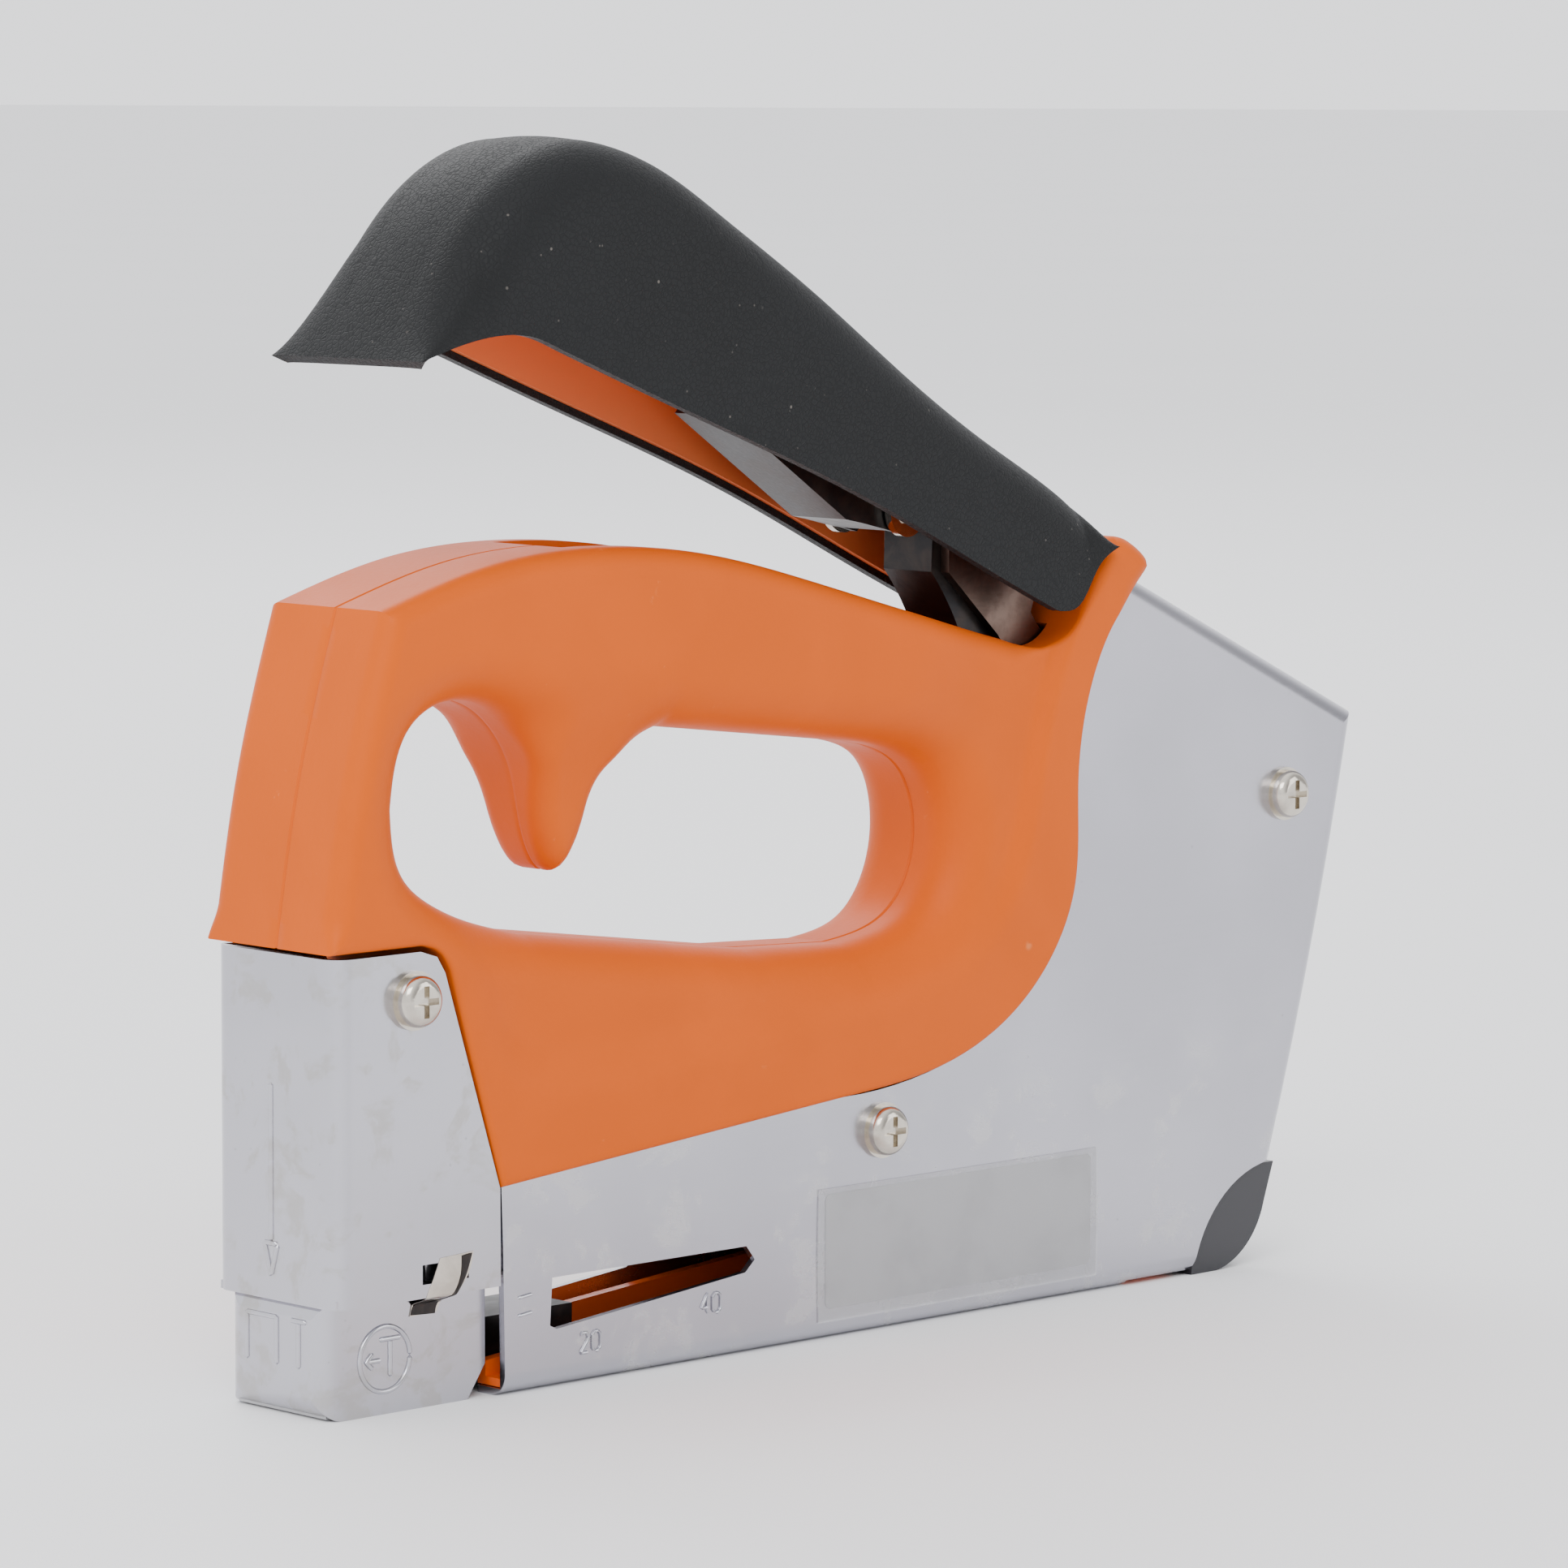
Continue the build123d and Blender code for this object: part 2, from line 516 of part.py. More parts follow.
def main():
    os.makedirs("parts", exist_ok=True)
    faces = [NOSE_HALF, BODY_HALF, BODY_HALF]
    places = list(zip(SCREW_PLACES, faces))

    publish("housing_left", housing_half(-1))
    publish("housing_right", housing_half(1))
    publish("nose_plate", nose_plate())
    publish("label", label())
    whole_grip = grip()
    publish("grip_shell_left", grip_half(whole_grip, -1))
    publish("grip_shell_right", grip_half(whole_grip, 1))
    publish("body_screws", *[body_screw(x, z, f) for (x, z), f in places])
    publish("screw_washers", *[washer(x, z, f) for (x, z), f in places])
    publish("body_nuts", *[nut(x, z, f) for (x, z), f in places])

    publish("blade_guide", blade_guide())
    liner_right, liner_left = magazine_liner()
    publish("liner_rail_right", liner_right)
    publish("liner_rail_left", liner_left)
    publish("magazine_roof", magazine_roof())
    plate_right, plate_left = pair(mechanism_plates())
    publish("mechanism_plate_right", plate_right)
    publish("mechanism_plate_left", plate_left)
    publish("lever_pin", pivot_pin(LEVER_PIVOT))
    publish("rocker_pin", pivot_pin(ROCKER_PIVOT))
    publish("spring_seat", spring_seat())
    publish("power_spring", power_spring())
    publish("lever_spring", lever_spring())

    skin, channel, inlay, hollow = lever_pieces()
    publish("lever_grip", skin)
    publish("lever_channel", channel)
    publish("lever_inlay", inlay)
    below = block(100, 160, -20, 20, 40, 110)
    bracket_right, bracket_left = pair(lever_bracket() & (hollow + below))
    publish("lever_bracket_right", bracket_right)
    publish("lever_bracket_left", bracket_left)
    publish("cam_arm", cam_arm() & (hollow + below))
    publish("latch_lugs", *pair(latch_lug() & hollow))
    publish("latch_pin", latch_pin())
    publish("lock_latch", lock_latch())

    publish("rocker", rocker())
    publish("striker_blade", striker_blade())
    publish("magazine_rail", magazine_rail())
    publish("guide_rod", guide_rod())
    publish("end_cap", end_cap())
    publish("pusher", pusher())
    publish("pusher_spring", pusher_spring())


main()
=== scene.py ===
"""Looks of a hand staple gun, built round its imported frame.

Lengths in the classes are millimetres from the nose: x runs back from the nose plate's front, y is
negative on the side of the screw heads, and z is up from the base. `place` turns them into metres.
"""
import logging
import math
from dataclasses import dataclass, field
from enum import Enum
from typing import Any, Sequence

import bmesh
import bpy
import numpy as np
from mathutils import Matrix, Vector


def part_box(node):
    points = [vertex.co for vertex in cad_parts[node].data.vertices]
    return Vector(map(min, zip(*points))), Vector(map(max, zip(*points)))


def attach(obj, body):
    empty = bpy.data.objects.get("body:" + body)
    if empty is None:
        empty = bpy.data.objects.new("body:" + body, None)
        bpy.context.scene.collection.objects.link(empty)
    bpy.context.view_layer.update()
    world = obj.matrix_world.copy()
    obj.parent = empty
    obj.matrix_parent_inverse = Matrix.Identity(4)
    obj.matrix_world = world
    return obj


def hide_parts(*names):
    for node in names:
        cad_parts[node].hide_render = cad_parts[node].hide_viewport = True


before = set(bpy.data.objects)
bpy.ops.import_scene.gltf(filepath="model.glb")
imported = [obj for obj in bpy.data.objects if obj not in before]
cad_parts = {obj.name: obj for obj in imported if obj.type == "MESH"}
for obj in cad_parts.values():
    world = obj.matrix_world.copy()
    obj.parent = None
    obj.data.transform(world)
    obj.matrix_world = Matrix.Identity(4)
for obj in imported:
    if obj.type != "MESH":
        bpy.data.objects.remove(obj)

LOG = logging.getLogger("staple_gun")
MM = 0.001
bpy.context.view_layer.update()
NOSE_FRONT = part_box("nose_plate")[0].x
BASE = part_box("nose_plate")[0].z
BODY_HALF = -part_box("housing_left")[0].y / MM
FOOT_HALF = 10.0  # half width of the nose below its crease
Points = Sequence[tuple[float, ...]]


# ---- numbers and curves -------------------------------------------------------------------------
def place(points: np.ndarray) -> np.ndarray:
    """Turns nose millimetres into the frame's metres.

    Args:
        points: array whose last axis is x, y, z in millimetres from the nose.

    Returns:
        The same points in metres in the shared frame.
    """
    return np.asarray(points, float) * MM + np.array([NOSE_FRONT, 0.0, BASE])


def smoothstep(low: float, high: float, value: np.ndarray) -> np.ndarray:
    """Rises from 0 at low to 1 at high as 3t^2 - 2t^3.

    Args:
        low: value where the rise starts.
        high: value where it ends; below low the step falls instead.
        value: where to take it.

    Returns:
        The step, between 0 and 1.
    """
    t = np.clip((np.asarray(value, float) - low) / (high - low), 0.0, 1.0)
    return t * t * (3.0 - 2.0 * t)


def through(points: Points, count: int) -> np.ndarray:
    """Natural cubic spline through points, by chord length, evenly sampled along its arc.

    The second derivatives solve the usual tridiagonal system, and each span is the cubic that has
    those bends at its ends.

    Args:
        points: points that the curve passes through.
        count: how many samples to give back.

    Returns:
        Array of count rows.
    """
    p = np.array(points, float)
    chord = np.concatenate([[0.0], np.cumsum(np.linalg.norm(np.diff(p, axis=0), axis=1))])
    n = len(p)
    h = np.diff(chord)
    system = np.eye(n)
    right = np.zeros_like(p)
    rows = np.arange(1, n - 1)
    system[rows, rows - 1] = h[:-1]
    system[rows, rows] = 2.0 * (h[:-1] + h[1:])
    system[rows, rows + 1] = h[1:]
    slope = np.diff(p, axis=0) / h[:, None]
    right[1:-1] = 6.0 * np.diff(slope, axis=0)
    bend = np.linalg.solve(system, right)
    t = np.linspace(0.0, chord[-1], max(40 * n, 4 * count))
    span = np.clip(np.searchsorted(chord, t, side="right") - 1, 0, n - 2)
    a = (chord[span + 1] - t)[:, None]
    b = (t - chord[span])[:, None]
    w = h[span][:, None]
    curve = (bend[span] * a ** 3 + bend[span + 1] * b ** 3) / (6.0 * w)
    curve += (p[span] / w - bend[span] * w / 6.0) * a + (p[span + 1] / w - bend[span + 1] * w / 6.0) * b
    return evenly(curve, count)


def evenly(curve: np.ndarray, count: int) -> np.ndarray:
    """Resamples a polyline at equal steps of its own length.

    Args:
        curve: rows of points.
        count: how many samples to give back.

    Returns:
        Array of count rows.
    """
    run = np.concatenate([[0.0], np.cumsum(np.linalg.norm(np.diff(curve, axis=0), axis=1))])
    at = np.linspace(0.0, run[-1], count)
    return np.stack([np.interp(at, run, curve[:, k]) for k in range(curve.shape[1])], axis=1)


def distance_to(points: np.ndarray, line: np.ndarray) -> np.ndarray:
    """Shortest distance of each point from a polyline, over all its segments at once.

    Args:
        points: array (..., 2).
        line: array (n, 2), the polyline's corners in order.

    Returns:
        Array (...) of distances.
    """
    flat = points.reshape(-1, 2)
    start, along = line[:-1], np.diff(line, axis=0)
    to = flat[:, None, :] - start[None, :, :]
    share = np.sum(to * along, axis=2) / np.maximum(np.sum(along * along, axis=1), 1e-12)
    foot = start + np.clip(share, 0.0, 1.0)[:, :, None] * along
    gap = np.linalg.norm(flat[:, None, :] - foot, axis=2)
    return gap.min(axis=1).reshape(points.shape[:-1])


def inside_of(points: np.ndarray, line: np.ndarray) -> np.ndarray:
    """Which side of an open polyline each point lies on, from its nearest segment.

    Args:
        points: array (..., 2).
        line: array (n, 2), the polyline's corners in order.

    Returns:
        Array (...) that is 1 on the left of the line's direction and -1 on its right.
    """
    flat = points.reshape(-1, 2)
    start, along = line[:-1], np.diff(line, axis=0)
    to = flat[:, None, :] - start[None, :, :]
    share = np.sum(to * along, axis=2) / np.maximum(np.sum(along * along, axis=1), 1e-12)
    foot = start + np.clip(share, 0.0, 1.0)[:, :, None] * along
    nearest = np.linalg.norm(flat[:, None, :] - foot, axis=2).argmin(axis=1)
    a, d = start[nearest], along[nearest]
    turn = d[:, 0] * (flat[:, 1] - a[:, 1]) - d[:, 1] * (flat[:, 0] - a[:, 0])
    return np.where(turn > 0, 1.0, -1.0).reshape(points.shape[:-1])


# ---- meshes -------------------------------------------------------------------------------------
@dataclass
class Sheet:
    """Faces worked out on a grid of two parameters, gathered into one mesh."""

    points: list[np.ndarray] = field(default_factory=list)
    faces: list[np.ndarray] = field(default_factory=list)
    count: int = 0

    def grid(self, table: np.ndarray, close_rows: bool = False, close_columns: bool = False,
             flip: bool = False) -> "Sheet":
        """Adds a grid of quads.

        Args:
            table: points as (rows, columns, 3) in nose millimetres.
            close_rows: joins the last row back to the first.
            close_columns: joins the last column back to the first.
            flip: turns the faces over.

        Returns:
            This sheet.
        """
        rows, columns = table.shape[:2]
        index = np.arange(rows * columns).reshape(rows, columns) + self.count
        if close_rows:
            index = np.concatenate([index, index[:1]], axis=0)
        if close_columns:
            index = np.concatenate([index, index[:, :1]], axis=1)
        quads = np.stack([index[:-1, :-1], index[1:, :-1], index[1:, 1:], index[:-1, 1:]], axis=-1)
        quads = quads.reshape(-1, 4)
        self.faces.append(quads[:, ::-1] if flip else quads)
        self.points.append(table.reshape(-1, 3))
        self.count += rows * columns
        return self

    def piece(self, name: str, merge: float = 1e-5, outward: bool = True) -> bpy.types.Object:
        """Puts the grids into a mesh object at the origin, with its seams merged.

        Args:
            name: the object's name.
            merge: points closer than this, in metres, become one.
            outward: turns all the faces outwards; right for closed forms.

        Returns:
            The new object.
        """
        vertices = place(np.concatenate(self.points))
        faces = np.concatenate(self.faces)
        mesh = bpy.data.meshes.new(name)
        mesh.from_pydata(vertices, [], faces)
        work = bmesh.new()
        work.from_mesh(mesh)
        bmesh.ops.remove_doubles(work, verts=work.verts, dist=merge)
        bmesh.ops.dissolve_degenerate(work, edges=work.edges, dist=merge * 0.1)
        if outward:
            bmesh.ops.recalc_face_normals(work, faces=work.faces)
        work.to_mesh(mesh)
        work.free()
        thing = bpy.data.objects.new(name, mesh)
        bpy.context.scene.collection.objects.link(thing)
        soften(thing)
        return thing


def soften(thing: bpy.types.Object, angle: float = 32.0) -> None:
    """Shades a piece smooth, with edges sharper than an angle kept crisp.

    Args:
        thing: the piece.
        angle: the largest angle, in degrees, that is shaded as a curve.
    """
    thing.data.shade_smooth()
    thing.data.set_sharp_from_angle(angle=math.radians(angle))


def cut(thing: bpy.types.Object, tool: bpy.types.Object) -> None:
    """Cuts one closed mesh out of another, and removes the cutter.

    Args:
        thing: the piece that is cut.
        tool: the cutter.
    """
    change = thing.modifiers.new("cut", "BOOLEAN")
    change.operation, change.solver, change.object = "DIFFERENCE", "MANIFOLD", tool
    graph = bpy.context.evaluated_depsgraph_get()
    graph.update()
    made = bpy.data.meshes.new_from_object(thing.evaluated_get(graph))
    thing.modifiers.clear()
    old, thing.data = thing.data, made
    bpy.data.meshes.remove(old)
    bpy.data.objects.remove(tool)
    soften(thing)


# ---- shader writing -----------------------------------------------------------------------------
@dataclass
class Value:
    """A number that varies over a surface; arithmetic on it adds Math nodes."""

    tree: "Shader"
    socket: Any

    def _math(self, operation: str, first: Any, second: Any = None) -> "Value":
        """Adds one Math node."""
        inputs = [first] if second is None else [first, second]
        node = self.tree.node("ShaderNodeMath", {"operation": operation}, *inputs)
        return Value(self.tree, node.outputs[0])

    def __add__(self, other: Any) -> "Value":
        """Sum."""
        return self._math("ADD", self, other)

    __radd__ = __add__

    def __sub__(self, other: Any) -> "Value":
        """Difference."""
        return self._math("SUBTRACT", self, other)

    def __rsub__(self, other: Any) -> "Value":
        """Difference with the value second."""
        return self._math("SUBTRACT", other, self)

    def __mul__(self, other: Any) -> "Value":
        """Product."""
        return self._math("MULTIPLY", self, other)

    __rmul__ = __mul__

    def __truediv__(self, other: Any) -> "Value":
        """Quotient."""
        return self._math("DIVIDE", self, other)

    def __rtruediv__(self, other: Any) -> "Value":
        """Quotient with the value below."""
        return self._math("DIVIDE", other, self)

    def __pow__(self, other: Any) -> "Value":
        """Power."""
        return self._math("POWER", self, other)

    def __abs__(self) -> "Value":
        """Size without its sign."""
        return self._math("ABSOLUTE", self)

    def most(self, other: Any) -> "Value":
        """The larger of two."""
        return self._math("MAXIMUM", self, other)

    def least(self, other: Any) -> "Value":
        """The smaller of two."""
        return self._math("MINIMUM", self, other)

    def step(self, low: float, high: float, start: float = 0.0, end: float = 1.0) -> "Value":
        """Smooth step of the value.

        Args:
            low: value where the step starts.
            high: value where it ends.
            start: result at and below low.
            end: result at and above high.

        Returns:
            The stepped value.
        """
        settings = {"interpolation_type": "SMOOTHSTEP"}
        if high < low:
            low, high, start, end = high, low, end, start
        node = self.tree.node("ShaderNodeMapRange", settings, self, low, high, start, end)
        return Value(self.tree, node.outputs[0])


class Shader:
    """One material's node tree, written with values instead of links."""

    def __init__(self, name: str) -> None:
        """Starts an empty material.

        Args:
            name: the material's name.
        """
        self.material = bpy.data.materials.new(name)
        self.material.use_nodes = True
        self.nodes = self.material.node_tree.nodes
        self.links = self.material.node_tree.links
        self.surface = self.nodes["Principled BSDF"]
        self.object = self.nodes.new("ShaderNodeTexCoord").outputs["Object"]

    def node(self, kind: str, settings: dict[str, Any] | None = None, *inputs: Any, **named: Any) -> Any:
        """Adds any node: its settings first, then what its sockets hold or are linked to.

        Args:
            kind: the node's type.
            settings: its own settings, such as a Math node's operation.
            *inputs: values or links for its first sockets, in order.
            **named: values or links for sockets by name.

        Returns:
            The node.
        """
        made = self.nodes.new(kind)
        for key, value in (settings or {}).items():
            setattr(made, key, value)
        for key, value in [*enumerate(inputs), *named.items()]:
            self.feed(made.inputs[key], value)
        return made

    def feed(self, socket: Any, value: Any) -> None:
        """Links a socket, or sets the number or colour that it holds.

        Args:
            socket: the input socket.
            value: a Value, another socket, a number or a tuple.
        """
        if isinstance(value, Value):
            value = value.socket
        if isinstance(value, bpy.types.NodeSocket):
            self.links.new(value, socket)
        else:
            socket.default_value = value

    def stretched(self, scale: tuple[float, float, float], turn: float = 0.0) -> Any:
        """Object coordinates scaled, and turned about y by an angle in degrees."""
        made = self.node("ShaderNodeMapping", {}, self.object)
        made.inputs["Rotation"].default_value = (0.0, math.radians(turn), 0.0)
        made.inputs["Scale"].default_value = scale
        return made.outputs[0]

    def axes(self) -> tuple[Value, Value, Value]:
        """Object coordinates in nose millimetres, one value for each axis."""
        split = self.node("ShaderNodeSeparateXYZ", {}, self.object)
        x, y, z = (Value(self, out) for out in split.outputs)
        return (x - NOSE_FRONT) * (1 / MM), y * (1 / MM), (z - BASE) * (1 / MM)

    def noise(self, size: float, detail: float = 3.0, rough: float = 0.55, vector: Any = None,
              twist: float = 0.0) -> Value:
        """Noise whose features are about size millimetres wide.

        Args:
            size: width of a feature, in millimetres.
            detail: octaves.
            rough: how strong the fine octaves are.
            vector: coordinates, where they aren't the plain ones.
            twist: distortion.

        Returns:
            The noise, about 0.3 to 0.7.
        """
        made = self.node("ShaderNodeTexNoise", {}, Vector=vector or self.object, Scale=1 / (size * MM),
                         Detail=detail, Roughness=rough, Distortion=twist)
        return Value(self, made.outputs[0])

    def cells(self, size: float, feature: str = "F1", output: str = "Distance") -> Value:
        """Voronoi cells about size millimetres wide."""
        made = self.node("ShaderNodeTexVoronoi", {"feature": feature}, Vector=self.object,
                         Scale=1 / (size * MM))
        return Value(self, made.outputs[output])

    def blend(self, share: Any, first: Any, second: Any) -> Any:
        """A colour between two others.

        Args:
            share: 0 gives the first, 1 the second.
            first: a colour or a socket.
            second: a colour or a socket.

        Returns:
            The colour's socket.
        """
        made = self.nodes.new("ShaderNodeMix")
        made.data_type = "RGBA"
        self.feed(made.inputs[0], share)
        for socket, value in ((made.inputs[6], first), (made.inputs[7], second)):
            self.feed(socket, (*value, 1.0) if isinstance(value, tuple) else value)
        return made.outputs[2]

    def relief(self, height: Value, depth: float) -> None:
        """Bumps the surface.

        Args:
            height: 0 to 1 over the surface.
            depth: what 1 stands for, in millimetres.
        """
        made = self.node("ShaderNodeBump", {}, Strength=1.0, Distance=depth * MM, Height=height)
        self.feed(self.surface.inputs["Normal"], made.outputs[0])

    def dress(self, colour: Any, roughness: Any, metallic: Any = 0.0,
              **constants: float) -> bpy.types.Material:
        """Feeds the surface shader.

        Args:
            colour: a colour or a socket.
            roughness: a number or a Value.
            metallic: a number or a Value.
            **constants: other sockets' numbers, named with underscores for spaces.

        Returns:
            The finished material.
        """
        inputs = self.surface.inputs
        self.feed(inputs["Base Color"], (*colour, 1.0) if isinstance(colour, tuple) else colour)
        self.feed(inputs["Roughness"], roughness)
        self.feed(inputs["Metallic"], metallic)
        for key, value in constants.items():
            inputs[key.replace("_", " ")].default_value = value
        return self.material


# ---- finishes -----------------------------------------------------------------------------------
Colour = tuple[float, float, float]


@dataclass(frozen=True)
class PlatedSteel:
    """Bright folded sheet steel: soft sheen, cloudy tone, patches low down and faint rolling lines; the patches
    are stains on the nose and a lighter painted reflection on the housing.
    """

    name: str
    tint: Colour
    stain_and_reflection: Colour
    stain_and_reflection_share: float
    roughness: float
    stain_and_reflection_height: float

    def build(self) -> bpy.types.Material:
        """Cloud noise shifts the tone, thresholded noise makes the patches low down (dark stains on the nose, a
        lighter painted reflection on the housing), stretched noise the lines.

        Returns:
            The material.
        """
        s = Shader(self.name)
        z = s.axes()[2]
        cloud = s.noise(38.0, 3.0)
        fine = s.noise(0.55, 2.0)
        lines = s.noise(1.0, 3.0, vector=s.stretched((0.05, 1.0, 2.2), 9.0))
        edge = s.noise(9.0, 7.0, 0.62, twist=0.6)
        streak = s.noise(4.0, 5.0, 0.6, vector=s.stretched((0.6, 1.0, 1.0), -30.0))
        # Patches low down: the nose's darker brown colour is stains, the housing's lighter colour is a painted
        # reflection of the bright floor.
        low = z.step(self.stain_and_reflection_height + 14.0, self.stain_and_reflection_height - 6.0)
        stains_and_reflection = edge.step(0.52, 0.60) * streak.step(0.36, 0.58) * low * self.stain_and_reflection_share
        darker = tuple(c * 0.95 for c in self.tint)
        lighter = tuple(min(1.0, c * 1.04) for c in self.tint)
        tone = s.blend(cloud.step(0.35, 0.65), darker, lighter)
        tone = s.blend(stains_and_reflection, tone, self.stain_and_reflection)
        specks = s.cells(3.1).step(0.09, 0.03) * s.noise(17.0).step(0.5, 0.6)
        tone = s.blend(specks * 0.35, tone, tuple(c * 0.45 for c in self.tint))
        rough = self.roughness + (cloud - 0.5) * 0.06 + (lines - 0.5) * 0.08 + stains_and_reflection * 0.12
        s.relief(lines * 0.5 + fine * 0.3, 0.006)
        return s.dress(tone, rough.most(0.08), 1.0)


@dataclass(frozen=True)
class MouldedPlastic:
    """Moulded plastic with a fine spark texture, faint marbling and a few pale scuffs."""

    name: str
    colour: Colour
    pale: Colour
    roughness: float
    grain: float
    scuffs: float
    sheen: float = 0.42

    def build(self) -> bpy.types.Material:
        """Two scales of noise vary the colour, and small cells and noise make the grain.

        Returns:
            The material.
        """
        s = Shader(self.name)
        marble = s.noise(24.0, 4.0, twist=0.5)
        grain = s.noise(self.grain, 3.0, 0.6)
        pits = s.cells(self.grain * 1.6)
        spots = s.cells(13.0).step(0.07, 0.02) * s.noise(5.0).step(0.52, 0.6)
        rub = s.noise(3.2, 6.0, 0.7).step(0.64, 0.72) * s.noise(30.0).step(0.56, 0.66)
        worn = ((spots + rub) * self.scuffs).least(1.0)
        tone = s.blend(marble.step(0.3, 0.7) * 0.5, self.colour, tuple(c * 0.88 for c in self.colour))
        tone = s.blend(worn, tone, self.pale)
        rough = self.roughness + (marble - 0.5) * 0.12 + (grain - 0.5) * 0.10 + worn * 0.1
        s.relief(grain * 0.7 + pits * 0.3, 0.05 * self.grain)
        return s.dress(tone, rough, 0.0, Specular_IOR_Level=self.sheen)


@dataclass(frozen=True)
class GrainedRubber:
    """Soft black rubber: leathery grain, dull sheen and pale dust."""

    name: str
    colour: Colour
    dust: Colour
    roughness: float

    def build(self) -> bpy.types.Material:
        """Cell edges make the leather creases, and sparse tiny cells make the dust.

        Returns:
            The material.
        """
        s = Shader(self.name)
        crease = s.cells(0.75, "DISTANCE_TO_EDGE").step(0.0, 0.16)
        swell = s.noise(1.7, 4.0, 0.6)
        wide = s.noise(30.0, 3.0)
        speck = s.cells(1.9).step(0.10, 0.055) * s.noise(7.0, 4.0).step(0.50, 0.60)
        mote = s.cells(4.7).step(0.06, 0.03) * s.noise(21.0).step(0.46, 0.56)
        fluff = (speck * 0.45 + mote * 0.8).least(1.0)
        tone = s.blend(wide.step(0.3, 0.7), self.colour, tuple(c * 1.35 for c in self.colour))
        tone = s.blend(fluff * 0.7, tone, self.dust)
        rough = self.roughness + (wide - 0.5) * 0.14 + (1 - crease) * 0.1
        s.relief(crease * 0.5 + swell * 0.9, 0.09)
        return s.dress(tone, rough, 0.0, Specular_IOR_Level=0.2)


@dataclass(frozen=True)
class SprayedPaint:
    """Thick sprayed paint with orange-peel bumps over pressed steel."""

    name: str
    colour: Colour
    dark: Colour
    roughness: float

    def build(self) -> bpy.types.Material:
        """Round-topped noise makes the peel, and wide noise the uneven coat.

        Returns:
            The material.
        """
        s = Shader(self.name)
        peel = s.noise(0.95, 2.0, 0.4)
        coat = s.noise(9.0, 4.0)
        tone = s.blend(coat.step(0.4, 0.7) * 0.6, self.colour, self.dark)
        s.relief(peel, 0.28)
        return s.dress(tone, self.roughness + (peel - 0.5) * 0.2, 0.0, Specular_IOR_Level=0.25)


@dataclass(frozen=True)
class BareMetal:
    """Machined or pressed metal with handling marks: nickel, black steel, bronzed plate, wire."""

    name: str
    tint: Colour
    mark: Colour
    roughness: float
    metallic: float = 1.0
    grain: float = 0.6

    def build(self) -> bpy.types.Material:
        """Noise clouds change tone and gloss, and stretched noise makes fine scratches.

        Returns:
            The material.
        """
        s = Shader(self.name)
        cloud = s.noise(4.5, 5.0, 0.6, twist=0.4)
        scratch = s.noise(0.5, 3.0, vector=s.stretched((0.12, 1.0, 1.5), 35.0))
        spots = s.cells(1.3).step(0.14, 0.05) * s.noise(3.0).step(0.5, 0.62)
        tone = s.blend(cloud.step(0.35, 0.72) * 0.75 + spots * 0.2, self.tint, self.mark)
        rough = self.roughness + (cloud - 0.5) * 0.22 + (scratch - 0.5) * 0.12
        s.relief(scratch * 0.4 + s.noise(self.grain) * 0.6, 0.02)
        return s.dress(tone, rough.most(0.06), self.metallic)


@dataclass(frozen=True)
class PrintedFilm:
    """Silver-grey label foil, blank, with a faint weave of print dots and worn edges."""

    name: str
    colour: Colour
    roughness: float
    alpha: float = 1.0

    def build(self) -> bpy.types.Material:
        """Fine noise for the foil, wide noise for rubbed places.

        Returns:
            The material.
        """
        s = Shader(self.name)
        foil = s.noise(0.35, 2.0)
        rubbed = s.noise(11.0, 5.0, 0.65)
        tone = s.blend(rubbed.step(0.45, 0.7) * 0.6, self.colour, tuple(c * 0.84 for c in self.colour))
        s.relief(foil * 0.4 + rubbed * 0.6, 0.02)
        rough = self.roughness + (foil - 0.5) * 0.2
        return s.dress(tone, rough, 0.35, Alpha=self.alpha, Coat_Weight=0.3)


